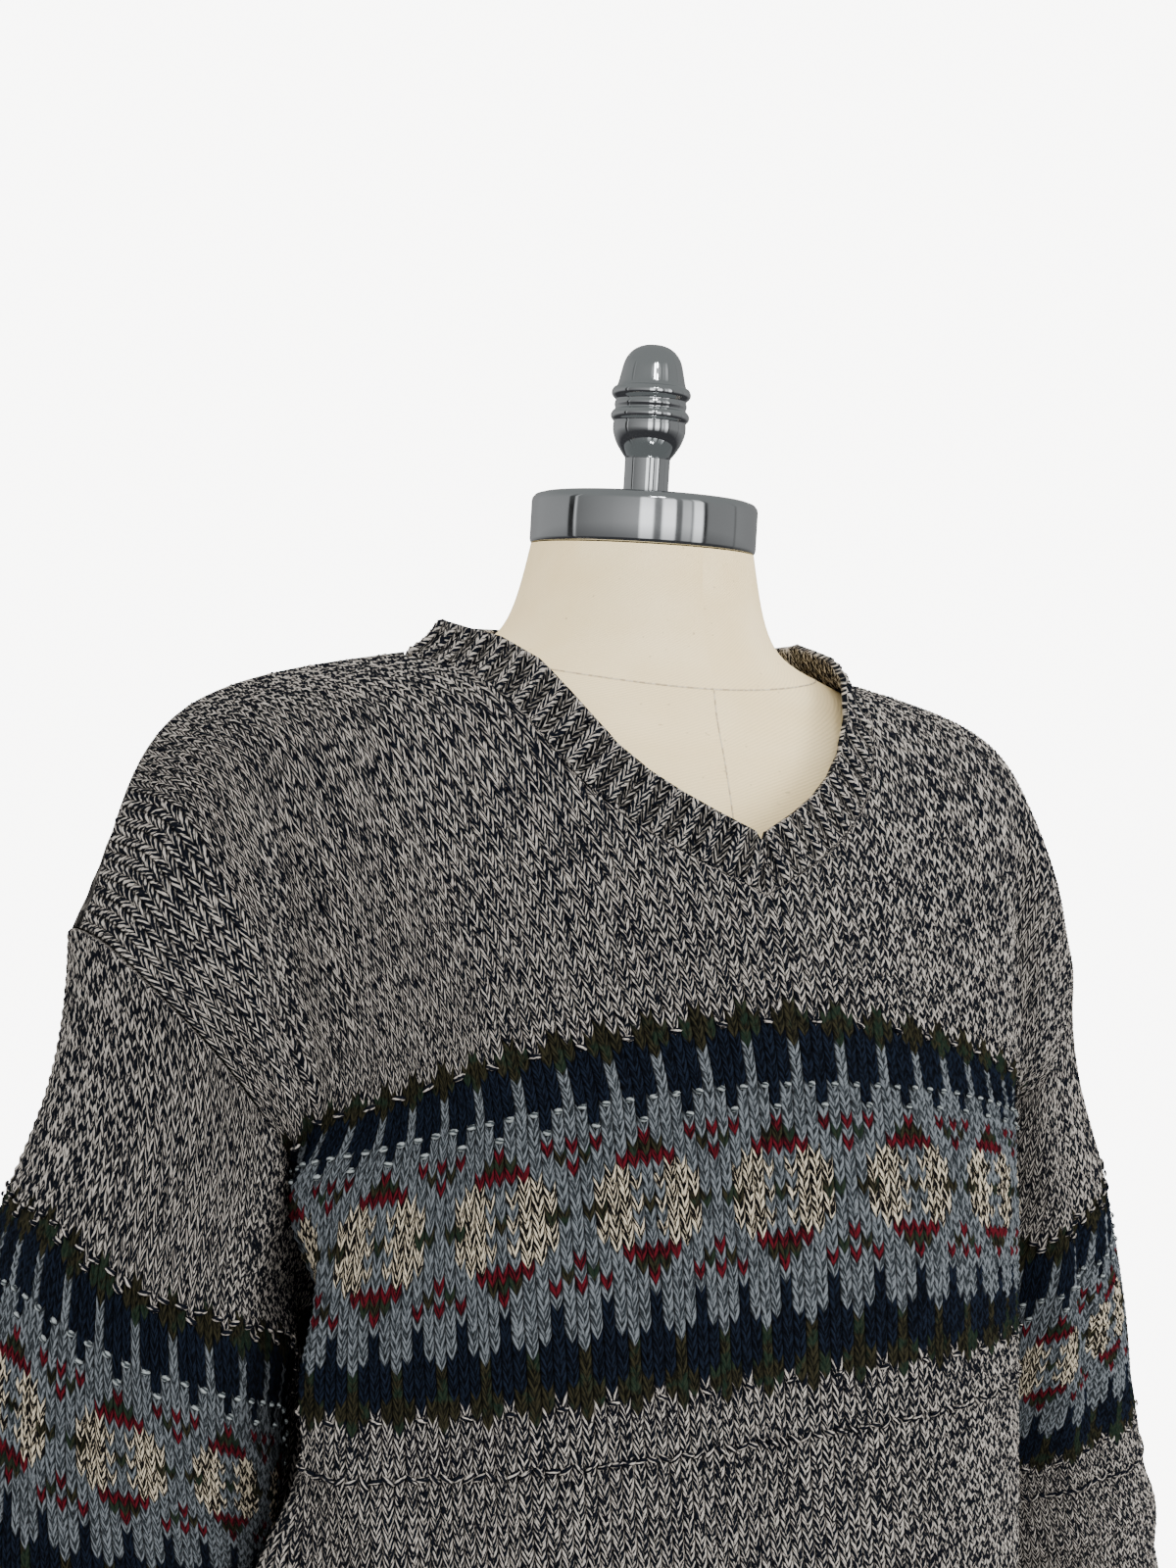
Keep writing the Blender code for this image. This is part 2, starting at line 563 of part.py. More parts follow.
def torso(name, material, folder):
    around = 36
    rings = []
    for z, half, front, rear, shift, square in TORSO_SECTIONS:
        angle = 2 * np.pi * np.arange(around) / around
        c, s = np.cos(angle), np.sin(angle)
        x = half * np.sign(s) * np.abs(s) ** (2 / square)
        deep = np.where(c > 0, front + shift, rear - shift)
        y = shift - deep * np.sign(c) * np.abs(c) ** (2 / square)
        rings.append(np.stack([x, y, np.full(around, z)], 1))
    verts = np.vstack(rings)
    faces = [tuple(range(around))[::-1]]
    for i in range(len(rings) - 1):
        for j in range(around):
            a, b = i * around + j, i * around + (j + 1) % around
            faces.append((a, b, b + around, a + around))
    faces.append(tuple(range((len(rings) - 1) * around, len(rings) * around)))
    return build_object(name, verts, faces, material, folder)


def turned(name, profile, foot, steps, material, folder):
    """A turned piece: its profile goes once round the Z axis with the Screw modifier."""
    mesh = bpy.data.meshes.new(name)
    edges = [(i, i + 1) for i in range(len(profile) - 1)]
    mesh.from_pydata([(r, 0.0, foot + z) for r, z in profile], edges, [])
    mesh.materials.append(material)
    thing = bpy.data.objects.new(name, mesh)
    folder.objects.link(thing)
    screw = thing.modifiers.new("turn", "SCREW")
    screw.steps = steps
    screw.render_steps = steps
    screw.use_merge_vertices = True
    screw.merge_threshold = 0.0001
    return thing


def make_material(name, colour, metal, rough):
    material = bpy.data.materials.new(name)
    material.use_nodes = True
    shader = material.node_tree.nodes["Principled BSDF"]
    shader.inputs["Base Color"].default_value = colour + (1.0,)
    shader.inputs["Metallic"].default_value = metal
    shader.inputs["Roughness"].default_value = rough
    return material


def main():
    for thing in list(bpy.data.objects):
        bpy.data.objects.remove(thing, do_unlink=True)
    folder = bpy.data.collections.new("sweater_on_dress_form")
    bpy.context.scene.collection.children.link(folder)
    cloth = [make_material("knit_" + n, (0.24, 0.22, 0.21), 0.0, 0.9) for n in
             ("front", "back", "sleeve_right", "sleeve_left", "neckband", "hem", "cuff_right", "cuff_left")]
    panel("front_panel", False, cloth[0], folder)
    panel("back_panel", True, cloth[1], folder)
    sleeve("sleeve_right", -1, cloth[2], folder)
    sleeve("sleeve_left", 1, cloth[3], folder)
    neckband("neckband", cloth[4], folder)
    hem_rib("hem_rib", cloth[5], folder)
    cuff("cuff_right", -1, cloth[6], folder)
    cuff("cuff_left", 1, cloth[7], folder)
    torso("form_torso", make_material("canvas_cover", (0.80, 0.73, 0.60), 0.0, 0.85), folder)
    turned("neck_cap", CAP_PROFILE, CAP_BOTTOM_Z, 36, make_material("cap_chrome", (0.6, 0.6, 0.62), 1.0, 0.12), folder)
    turned("finial", FINIAL_PROFILE, CAP_TOP_Z + 0.0003, 28, make_material("finial_chrome", (0.6, 0.6, 0.62), 1.0, 0.12), folder)
    turned("collar", COLLAR_PROFILE, TORSO_BOTTOM_Z - 0.0343, 32, make_material("collar_chrome", (0.6, 0.6, 0.62), 1.0, 0.2), folder)
    pole_top = TORSO_BOTTOM_Z - 0.0346
    pole = ((0.0, pole_top - 0.0303), (POLE_RADIUS, pole_top - 0.0303), (POLE_RADIUS, 0.0), (0.0, 0.0))
    turned("pole", pole, 0.0303, 24, make_material("pole_chrome", (0.6, 0.6, 0.62), 1.0, 0.2), folder)
    turned("base", BASE_PROFILE, 0.0, 36, make_material("base_enamel", (0.05, 0.05, 0.055), 0.0, 0.4), folder)


main()
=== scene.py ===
"""Looks of the marl sweater with a Fair Isle band, worn by its dress form. Metres, +Z up, front towards -Y.

Every sheet of knitting is a lattice of real stitches. A stitch is a V of two legs, each leg four small
faces round one high point, and the lattice lies on the same surface as the solid that it replaces.
"""
import math
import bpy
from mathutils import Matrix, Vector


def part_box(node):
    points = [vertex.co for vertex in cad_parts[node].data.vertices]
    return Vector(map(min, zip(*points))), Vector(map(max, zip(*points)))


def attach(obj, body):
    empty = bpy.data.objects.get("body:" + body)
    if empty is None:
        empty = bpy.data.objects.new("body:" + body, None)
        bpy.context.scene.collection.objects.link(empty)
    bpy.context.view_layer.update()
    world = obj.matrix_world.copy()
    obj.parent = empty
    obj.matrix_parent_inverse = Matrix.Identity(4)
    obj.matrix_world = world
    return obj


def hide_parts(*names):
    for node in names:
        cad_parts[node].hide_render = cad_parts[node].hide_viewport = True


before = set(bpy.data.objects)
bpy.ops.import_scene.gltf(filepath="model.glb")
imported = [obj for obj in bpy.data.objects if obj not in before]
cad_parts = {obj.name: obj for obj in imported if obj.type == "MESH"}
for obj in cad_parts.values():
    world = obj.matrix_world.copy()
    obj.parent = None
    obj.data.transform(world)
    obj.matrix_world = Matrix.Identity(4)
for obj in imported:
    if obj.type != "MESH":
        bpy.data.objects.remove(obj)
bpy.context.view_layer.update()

from types import SimpleNamespace

import bpy
import bmesh
import numpy as np
from mathutils import Matrix, Vector

DRAW = np.random.default_rng(27)
UPWARDS = np.array([0.0, 0.0, 1.0])
MIRROR = (-1.0, 1.0, 1.0)

# Sizes of the cloth, as the solids have them
WALL = 0.003
SEAM = 0.0003
PANEL_HALF = 0.32
UNDERARM_H = 0.40
SHOULDER_CENTRE_H = 0.774
SHOULDER_END_H = 0.69
HEM_RIB_H = 0.065
NECK_HALF = 0.126
V_TIP_H = 0.579
BACK_NECK_H = 0.692
SQUARE = 2.8
SLEEVE_ROOM = 0.014
UNDERARM_DROP = 0.036
SLEEVE_LENGTH = 0.44
CUFF_LENGTH = 0.072
NECKBAND_WIDTH = 0.026
NECK_STEPS = 10
LINE_POINTS = 121
DENT_SOFT = 0.010

# Knitting: wales across, height of a plain row and of a row of the band, ribs of one knit and one purl wale
PANEL_WALES = 108
SLEEVE_WALES = 108
PLAIN_ROW = 0.0046
PLAIN_WALE = 0.0055
BAND_LOW_H = 0.337
BAND_HIGH_H = 0.527
SLEEVE_BAND_TOP = 0.100
HEM_RIBS = 99
CUFF_RIBS = 24
NECK_RIBS = 59
RIB_ROW = 0.0046
LEAN = 1.0
WALE_SLANT = 0.105
SHOULDER_SLANT = 0.14
PANEL_PHASE = 11
SLEEVE_PHASE = {-1: 8, 1: 10}
SLEEVE_BAND_TALL = 0.158
WELT_BELOW = 4
SEAM_CLOSE = 0.45
END_GAP = 2e-4

# How the wales spread over a panel: share of the stitches, share of the width
WALE_SPREAD = ((-1.0, -1.0), (-0.85, -0.76), (-0.63, -0.59), (-0.41, -0.415), (-0.19, -0.19),
               (0.03, 0.03), (0.25, 0.297), (0.47, 0.520), (1.0, 1.0))

# The band from its top row down, one repeat of twelve wales: m marl, M marl purl bump, o olive, n navy,
# g blue-grey, G pale purl bump on navy, r maroon, c cream
CHART = (
    "oMmMoMmMoMmM", "ooMoooMoooMo", "oonooonooono", "onnnonnnonnn", "gnnngnnngnnn", "gnnngnnngnnn",
    "gnnngnnngnnn", "gGnGgGnGgGnG", "ggngggngggng", "ggGgggGgggGg", "gggggggggggg",
    "rgrgggrgggrg", "gogggooogggo", "rgggrrrrrggg", "gggccgggccgg", "ggccccgccccg", "ggcccgggcccg",
    "goocccocccoo", "ggcccgggcccg", "ggccccgccccg", "gggccgggccgg", "rgggrrrrrggg", "gogggooogggo",
    "rgrgggrgggrg", "gggggggggggg", "ggngggngggng", "ggngggngggng", "ggngggngggng", "gnnngnnngnnn",
    "onnnonnnonnn", "onnnonnnonnn", "onnnonnnonnn", "oonooonooono", "ooMoooMoooMo", "ommmommmommm",
)
REPEAT = 12
YARNS = "mongrcp"
# Purl bumps, W in the raised row below the band: yarn behind, yarn of the bump, size, how far it may tilt
BUMPS = {"M": ("m", "m", 1.30, 0.45), "G": ("n", "p", 0.90, 0.15), "W": ("m", "m", 1.5, 0.95)}

# Sleeve sections: height, middle across, half across, half deep
SLEEVE_SECTIONS = (
    (1.30, 0.230, 0.058, 0.088),
    (1.24, 0.237, 0.064, 0.088),
    (1.15, 0.252, 0.074, 0.085),
    (1.05, 0.267, 0.082, 0.081),
    (0.95, 0.288, 0.078, 0.074),
    (0.905, 0.298, 0.066, 0.064),
    (0.885, 0.302, 0.050, 0.050),
    (0.872, 0.304, 0.041, 0.041),
    (0.795, 0.312, 0.039, 0.039),
)
SLEEVE_SWING = 0.020
SLEEVE_STATIONS = 96

# Level rows of the body below the armholes: cloth height, height, half across, front, back
BODY_ROWS = (
    (0.000, 0.790, 0.226, 0.138, 0.122),
    (0.060, 0.848, 0.236, 0.147, 0.130),
    (0.090, 0.877, 0.242, 0.152, 0.134),
    (0.170, 0.956, 0.244, 0.153, 0.132),
    (0.260, 1.046, 0.238, 0.151, 0.129),
    (0.337, 1.123, 0.232, 0.149, 0.128),
    (0.400, 1.186, 0.228, 0.147, 0.127),
)

# Rows above the armholes. Heights on the cloth at the centre and at the armhole edge, then the middle
# (y, z), a point on the chest (x, y, z), the fold beside the arm (x, y, z) and the armhole edge (x, y, z).
FRONT_ROWS = (
    (0.460, 0.460, (-0.143, 1.247), (0.120, -0.130, 1.238), (0.203, -0.090, 1.216), (0.181, -0.030, 1.199)),
    (0.527, 0.530, (-0.138, 1.309), (0.120, -0.120, 1.292), (0.199, -0.096, 1.262), (0.221, -0.080, 1.246)),
    (0.580, 0.580, (-0.131, 1.358), (0.122, -0.108, 1.342), (0.214, -0.083, 1.313), (0.247, -0.072, 1.281)),
    (0.630, 0.625, (-0.115, 1.403), (0.122, -0.091, 1.393), (0.225, -0.068, 1.368), (0.272, -0.046, 1.310)),
    (0.690, 0.655, (-0.084, 1.456), (0.120, -0.052, 1.4450), (0.229, -0.032, 1.416), (0.281, -0.018, 1.322)),
    (0.774, 0.690, (0.008, 1.480), (0.112, 0.010, 1.4645), (0.241, 0.012, 1.427), (0.284, 0.012, 1.325)),
)
BACK_ROWS = (
    (0.460, 0.460, (0.127, 1.247), (0.120, 0.118, 1.240), (0.203, 0.090, 1.218), (0.181, 0.030, 1.199)),
    (0.527, 0.530, (0.128, 1.312), (0.120, 0.118, 1.300), (0.199, 0.096, 1.264), (0.221, 0.082, 1.246)),
    (0.580, 0.580, (0.122, 1.365), (0.122, 0.112, 1.352), (0.212, 0.088, 1.317), (0.245, 0.078, 1.281)),
    (0.630, 0.625, (0.108, 1.413), (0.122, 0.096, 1.398), (0.225, 0.074, 1.370), (0.272, 0.058, 1.310)),
    (0.690, 0.655, (0.088, 1.454), (0.120, 0.068, 1.4420), (0.229, 0.048, 1.416), (0.281, 0.036, 1.322)),
    (0.774, 0.690, (0.008, 1.480), (0.112, 0.010, 1.4645), (0.241, 0.012, 1.427), (0.284, 0.012, 1.325)),
)

# Creases between body and arm: height, distance across, how deep the valley is
CREASE = ((1.415, 0.218, 0.0), (1.38, 0.215, 0.010), (1.34, 0.210, 0.014), (1.29, 0.204, 0.013),
          (1.24, 0.200, 0.007), (1.19, 0.200, 0.0))
CREASE_WIDTH = 0.013

# Sections of the torso: height, half across, front, back, middle of the depth, squareness
TORSO_SECTIONS = (
    (0.735, 0.164, 0.106, 0.098, 0.000, 2.2),
    (0.760, 0.170, 0.111, 0.104, 0.000, 2.2),
    (0.850, 0.170, 0.114, 0.107, 0.000, 2.2),
    (0.960, 0.143, 0.100, 0.092, 0.000, 2.2),
    (1.040, 0.128, 0.092, 0.082, 0.000, 2.2),
    (1.120, 0.140, 0.104, 0.090, 0.000, 2.2),
    (1.200, 0.152, 0.126, 0.104, 0.000, 2.2),
    (1.280, 0.160, 0.120, 0.110, 0.000, 2.2),
    (1.340, 0.172, 0.114, 0.106, 0.000, 2.2),
    (1.380, 0.184, 0.105, 0.094, 0.002, 2.1),
    (1.410, 0.192, 0.094, 0.080, 0.004, 1.85),
    (1.430, 0.193, 0.085, 0.066, 0.006, 1.65),
    (1.4405, 0.1715, 0.080, 0.062, 0.006, 1.55),
    (1.4530, 0.1388, 0.0770, 0.062, 0.008, 1.6),
    (1.4600, 0.1155, 0.0740, 0.062, 0.007, 1.7),
    (1.4680, 0.084, 0.070, 0.062, 0.003, 2.0),
    (1.4780, 0.0725, 0.0655, 0.060, 0.001, 2.0),
    (1.4950, 0.0650, 0.0615, 0.0590, 0.000, 2.0),
    (1.5230, 0.0585, 0.0585, 0.0585, 0.000, 2.0),
)

# The canvas: its length round the form, and its seams' heights and thickness
CANVAS_TURN = 0.42
OUTSIDE_FORM = 0.30
NECK_SEAM_FRONT_Z = 1.453
NECK_SEAM_BACK_Z = 1.475
FORM_SEAM_LOW_Z = 1.02
SEAM_LINE = 0.00045

# Turned pieces: edge, pole, and profiles of radius and height above the piece's foot
BROKEN_EDGE = 0.0006
POLE_RADIUS = 0.016
FINIAL_PROFILE = (
    (0.0000, 0.0790), (0.0052, 0.0784), (0.0095, 0.0766), (0.0127, 0.0737), (0.0151, 0.0692), (0.0171, 0.0605),
    (0.0181, 0.0572), (0.0196, 0.0562), (0.0206, 0.0542), (0.0204, 0.0522), (0.0190, 0.0506), (0.0184, 0.0498),
    (0.0187, 0.0486), (0.0189, 0.0474), (0.0186, 0.0462), (0.0185, 0.0452), (0.0196, 0.0440), (0.0205, 0.0422),
    (0.0201, 0.0402), (0.0189, 0.0388), (0.0190, 0.0370), (0.0189, 0.0340), (0.0180, 0.0305), (0.0165, 0.0270),
    (0.0145, 0.0238), (0.0128, 0.0214), (0.0119, 0.0200), (0.0118, 0.0180), (0.0118, 0.0040), (0.0125, 0.0015),
    (0.0135, 0.0000), (0.0000, 0.0000),
)
CAP_PROFILE = (
    (0.0000, 0.0265), (0.0540, 0.0262), (0.0572, 0.0252), (0.0587, 0.0232), (0.0590, 0.0215),
    (0.0590, 0.0020), (0.0584, 0.0000), (0.0000, 0.0000),
)
COLLAR_PROFILE = (
    (0.0000, 0.0340), (0.0480, 0.0340), (0.0500, 0.0320), (0.0500, 0.0270), (0.0300, 0.0210),
    (0.0230, 0.0100), (0.0230, 0.0000), (0.0000, 0.0000),
)
BASE_PROFILE = (
    (0.0000, 0.0300), (0.0240, 0.0300), (0.0290, 0.0270), (0.0330, 0.0200), (0.0500, 0.0165),
    (0.1600, 0.0120), (0.1720, 0.0095), (0.1750, 0.0060), (0.1750, 0.0015), (0.1735, 0.0000),
    (0.0000, 0.0000),
)


def smooth(x):
    x = np.clip(x, 0.0, 1.0)
    return x * x * (3.0 - 2.0 * x)


def column(table, k):
    return np.array([row[k] for row in table], float)


def by_height(table, z, k):
    """A value of a table whose first column is a height."""
    zs = column(table, 0)
    order = np.argsort(zs)
    return np.interp(z, zs[order], column(table, k)[order])


def unit(v):
    """The same directions, each of length one."""
    return v / np.linalg.norm(v, axis=-1, keepdims=True)


def evened(line, count, closed=False):
    """A line's points set at even steps along it, and its length."""
    far = np.concatenate([[0.0], np.cumsum(np.linalg.norm(np.diff(line[:, :3], axis=0), axis=1))])
    even = np.linspace(0.0, far[-1], count, endpoint=not closed)
    return np.stack([np.interp(even, far, values) for values in line.T], 1), far[-1]


def through(points):
    """A smooth curve through a few points of a half panel, as a dense line of even steps, and its length."""
    p = np.array(points, float)
    p = np.vstack([p[:1] * MIRROR, p, 2.0 * p[-1:] - p[-2:-1]])
    if abs(p[1, 0]) < 1e-9:
        p[0] = p[2] * MIRROR
    line = []
    for i in range(1, len(p) - 2):
        t = np.linspace(0.0, 1.0, 24, endpoint=False)[:, None]
        a, b, c, d = p[i - 1], p[i], p[i + 1], p[i + 2]
        bend = (2 * a - 5 * b + 4 * c - d) * t ** 2 + (3 * b - a - 3 * c + d) * t ** 3
        line.append(0.5 * (2 * b + (c - a) * t + bend))
    return evened(np.vstack(line + [p[-2:-1]]), LINE_POINTS)


def sleeve_middle(z, side):
    """Where the middle of a sleeve hangs; the wearer's left swings out a little further."""
    return by_height(SLEEVE_SECTIONS, z, 1) + SLEEVE_SWING * smooth((1.16 - z) / 0.24) * (side > 0)


def level_row(row, back):
    """Half a level section of the body, from the centre to the side seam, dented by the hanging sleeve."""
    h, z, half, front, rear = row
    deep = rear if back else front
    t = np.linspace(0.0, np.pi / 2, 361)
    x = half * np.sin(t) ** (2 / SQUARE)
    y = deep * np.cos(t) ** (2 / SQUARE)
    middle, across, depth = (by_height(SLEEVE_SECTIONS, z, k) for k in (1, 2, 3))
    across, depth = across + SLEEVE_ROOM, depth + SLEEVE_ROOM
    limit = middle - across * np.sqrt(np.clip(1.0 - (y / depth) ** 2, 0.0, 1.0))
    limit = np.where(y < depth, limit, middle + (y - depth) * 3.0)
    x = -DENT_SOFT * np.logaddexp(-x / DENT_SOFT, -limit / DENT_SOFT)
    x = x - x[0] * (1.0 - np.linspace(0.0, 1.0, len(x)))
    return evened(np.stack([x, y if back else -y, np.full_like(x, z)], 1), LINE_POINTS)


def panel_rows(back):
    """Every row of a half panel: its cloth heights, its even line and its length."""
    rows = []
    for row in BODY_ROWS:
        line, far = level_row(row, back)
        drop = UNDERARM_DROP * smooth((row[0] - 0.30) / 0.10) * smooth(np.linspace(-0.2, 1.0, LINE_POINTS))
        line = line - np.stack([0 * drop, 0 * drop, drop], 1)
        rows.append((row[0], row[0], line, far))
    for centre, edge, middle, chest, fold, end in (BACK_ROWS if back else FRONT_ROWS):
        line, far = through([(0.0,) + middle, chest, fold, end])
        rows.append((centre, edge, line, far))
    return rows


ROWS = {False: panel_rows(False), True: panel_rows(True)}


def place(s, h, back):
    """The worn place of flat points (s, h) on the front or the back panel's middle surface."""
    s, h = np.broadcast_arrays(np.asarray(s, float), np.asarray(h, float))
    side = np.where(s < 0, -1.0, 1.0)
    t = np.clip(np.abs(s) / PANEL_HALF, 0.0, 1.0)
    rows = ROWS[back]
    knots = np.stack([r[0] + (r[1] - r[0]) * t for r in rows])
    spots = []
    for r in rows:
        # true width at the centre; what is left over is eased in towards the side
        ratio = r[3] / PANEL_HALF
        u = t * (1.0 + (ratio - 1.0) * t * t) / ratio
        k = np.clip(u, 0.0, 1.0) * (LINE_POINTS - 1.0)
        i = np.minimum(k.astype(int), LINE_POINTS - 2)
        f = (k - i)[..., None]
        spots.append(r[2][i] * (1.0 - f) + r[2][i + 1] * f)
    spots = np.stack(spots)
    n = len(rows)
    slope = np.zeros_like(spots)
    for k in range(n):
        a, b = max(0, k - 1), min(n - 1, k + 1)
        slope[k] = (spots[b] - spots[a]) / (knots[b] - knots[a])[..., None]
    # the cloth parts at the underarm, so near the side seam the two slopes there differ
    up_from, up_to = slope.copy(), slope.copy()
    k = len(BODY_ROWS) - 1
    parted = smooth((t - 0.70) / 0.25)[..., None]
    before = (spots[k] - spots[k - 1]) / (knots[k] - knots[k - 1])[..., None]
    after = (spots[k + 1] - spots[k]) / (knots[k + 1] - knots[k])[..., None]
    up_to[k] = slope[k] * (1 - parted) + before * parted
    up_from[k] = slope[k] * (1 - parted) + after * parted
    below = np.zeros(t.shape, int)
    for k in range(1, n - 1):
        below = np.where(h >= knots[k], k, below)

    def pick(values, row):
        index = row[None, ...] if values.ndim == t.ndim + 1 else row[None, ..., None]
        return np.take_along_axis(values, index, 0)[0]

    above = below + 1
    h0, h1 = pick(knots, below), pick(knots, above)
    gap = (h1 - h0)[..., None]
    q = np.clip((h - h0) / (h1 - h0), -0.4, 1.4)[..., None]
    p = (pick(spots, below) * (2 * q ** 3 - 3 * q ** 2 + 1)
         + pick(up_from, below) * gap * (q ** 3 - 2 * q ** 2 + q))
    p = p + pick(spots, above) * (3 * q ** 2 - 2 * q ** 3) + pick(up_to, above) * gap * (q ** 3 - q ** 2)
    off = (p[..., 0] - by_height(CREASE, p[..., 2], 1)) / CREASE_WIDTH
    dent = by_height(CREASE, p[..., 2], 2) * np.exp(-off ** 2)
    p[..., 1] += dent * (-0.4 if back else 1.0)
    p[..., 0] *= side
    return p


def facing(s, h, back):
    """The outward direction of the panel's surface."""
    d = 0.002
    across = place(s + d, h, back) - place(s - d, h, back)
    up = place(s, h + d, back) - place(s, h - d, back)
    return unit(np.cross(across, up) * (-1 if back else 1))


def bezier(points, q):
    a, b, c, d = (np.array(p, float) for p in points)
    q = np.asarray(q, float)[..., None]
    return a * (1 - q) ** 3 + 3 * b * q * (1 - q) ** 2 + 3 * c * q * q * (1 - q) + d * q ** 3


def shoulder_h(s):
    return SHOULDER_CENTRE_H + (SHOULDER_END_H - SHOULDER_CENTRE_H) * abs(s) / PANEL_HALF


NECK_POINT = (NECK_HALF, shoulder_h(NECK_HALF))
FRONT_NECK = ((0.0, V_TIP_H), (0.060, 0.610), (0.125, 0.647), NECK_POINT)
BACK_NECK = ((0.0, BACK_NECK_H), (0.080, BACK_NECK_H), (0.119, 0.702), NECK_POINT)


def beside(point, leave, normal, go):
    """Where a second wall starts beside the edge of a first: clear of it by the seam, however they fold."""
    go = unit(go)
    cosine = np.clip((leave * go).sum(-1), -1, 1)[..., None]
    toward = (normal * go).sum(-1)[..., None]
    sine = np.sqrt(np.clip(1 - cosine ** 2, 0, 1))
    sign = np.where(toward < 0, -1.0, 1.0)
    return (point + leave * (SEAM * (1 + cosine) / 2 + (WALL / 2 + SEAM) * sine)
            + normal * sign * (WALL + SEAM) / 2 * (1 - cosine))


def sleeve_surface(share, length, side):
    """Middle surface of a sleeve. share runs from the shoulder, by the front, round to the shoulder again."""
    share, length = np.broadcast_arrays(np.asarray(share, float), np.asarray(length, float))
    front = share <= 0.5
    f = np.where(front, share * 2, (1 - share) * 2)
    h = SHOULDER_END_H + (UNDERARM_H - SHOULDER_END_H) * f
    edge_s = np.full_like(h, PANEL_HALF)
    loop = np.where(front[..., None], place(edge_s, h, False), place(edge_s, h, True))
    cuff_z = 0.872 + 0.006 * np.cos(np.pi * f)
    slack = (loop[..., 2] - SLEEVE_LENGTH) - cuff_z
    z = loop[..., 2] - length - slack * smooth((length - 0.10) / (SLEEVE_LENGTH - 0.10))
    angle = 2 * np.pi * share
    x = sleeve_middle(z, side) + by_height(SLEEVE_SECTIONS, z, 2) * np.cos(angle)
    y = -by_height(SLEEVE_SECTIONS, z, 3) * np.sin(angle)
    ease = 0.15 + (0.030 - 0.15) * smooth(f)
    w = smooth(length / ease)
    v = smooth(length / 0.15)
    p = np.stack([loop[..., 0] * (1 - w) + x * w, loop[..., 1] * (1 - v) + y * v, z], -1)
    p[..., 0] *= side
    return p


def sleeve_facing(share, length, side):
    """The outward direction of a sleeve's surface."""
    d = 0.003
    before, after = (share - d) % 1.0, (share + d) % 1.0
    round_way = sleeve_surface(after, length, side) - sleeve_surface(before, length, side)
    down = sleeve_surface(share, length + d, side) - sleeve_surface(share, np.maximum(length - d, 0.0), side)
    n = np.cross(down, round_way) * side
    here = sleeve_surface(share, length, side)
    middle = np.stack([side * sleeve_middle(here[..., 2], side), 0 * share, 0 * share], -1)
    inward = (n[..., :2] * (here - middle)[..., :2]).sum(-1) < 0
    return unit(n * np.where(inward, -1.0, 1.0)[..., None])


def neck_edge(back):
    """Half a panel's neckline from its middle to the shoulder: places and outward directions."""
    flat = bezier(BACK_NECK if back else FRONT_NECK, np.linspace(0.0, 1.0, NECK_STEPS + 1))
    flat[:, 1] -= SEAM / 2
    spot = place(flat[:, 0], flat[:, 1], back)
    away = facing(flat[:, 0], flat[:, 1], back)
    away[-1] = unit(away[-1] + facing(flat[-1:, 0], flat[-1:, 1], not back)[0])
    return np.hstack([spot, away])


def neck_line(count):
    """The neckline, round from the V tip by the left shoulder and the back, with its facing."""
    front, rear = neck_edge(False), neck_edge(True)
    far_side = [(rear * (MIRROR + MIRROR))[:-1], (front * (MIRROR + MIRROR))[::-1][:-1]]
    line = np.vstack([front[:-1], rear[::-1][:-1]] + far_side + [front[:1]])
    both, _ = evened(line, count, closed=True)
    return both[:, :3], unit(both[:, 3:])


# Relief of a stitch in millimetres: at the gap between wales, the leg, the middle of the V and the other leg
# the same relief also sets the painted shade in the creases, through the depth that knit() gives each point
CREASE_RISE = (-0.80, -0.15, -0.45, -0.15)
RIDGE_RISE = (-0.60, 1.00, -0.15, 1.00)
PURL_CREASE = (-0.55, -0.75, -0.80, -0.75)
PURL_RIDGE = (-0.30, -0.05, 0.10, -0.05)
RIB_RISE = (0.15, 1.10, 1.10, 1.10)
WELT_RISE = 0.25
UNEVEN_MM = 0.09

# Purl bumps: half length, half height and depth, how far out they stand, and the least space to a sheet's end
BUMP_LONG, BUMP_HIGH, BUMP_DEEP = 0.0025, 0.0015, 0.0013
BUMP_OUT = 0.0028
BUMP_FREE = 0.003

# Yarn of a stitch in millimetres: width of a leg, and from how long a run each piece of yarn is cut
LEG_WIDE_MM = 2.3
YARN_RUN_MM = 60.0
RIM_RUN_MM = 40.0
BUMP_RUN_MM = 50.0


def crease_heights(low, high, band_low=None, band_high=None, plain=PLAIN_ROW):
    """Heights of the creases between rows, past both edges, and each row's place in the chart (-1: none)."""
    if band_low is None:
        rows = max(1, round((high - low) / plain))
        pitch = (high - low) / rows
        creases = low + pitch * np.arange(-2, rows + 3)
        return creases, np.full(len(creases) - 1, -1)
    band = len(CHART)
    inside = np.linspace(band_low, band_high, band + 1)
    below = band_low - plain * np.arange(math.ceil((band_low - low) / plain) + 2, 0, -1)
    above = band_high + plain * np.arange(1, math.ceil((high - band_high) / plain) + 3)
    chart = np.concatenate([-1 - np.arange(len(below) - 1, -1, -1), np.arange(band - 1, -1, -1),
                            np.full(len(above), -100)])
    return np.concatenate([below, inside, above]), chart


def zip_lines(a, b, ta, tb):
    """Triangles between two lines of points whose shares of the way are ta and tb."""
    out, i, j = [], 0, 0
    while i < len(a) - 1 or j < len(b) - 1:
        if j == len(b) - 1 or (i < len(a) - 1 and ta[i + 1] <= tb[j + 1]):
            out.append((a[i], a[i + 1], b[j]))
            i += 1
        else:
            out.append((a[i], b[j + 1], b[j]))
            j += 1
    return out


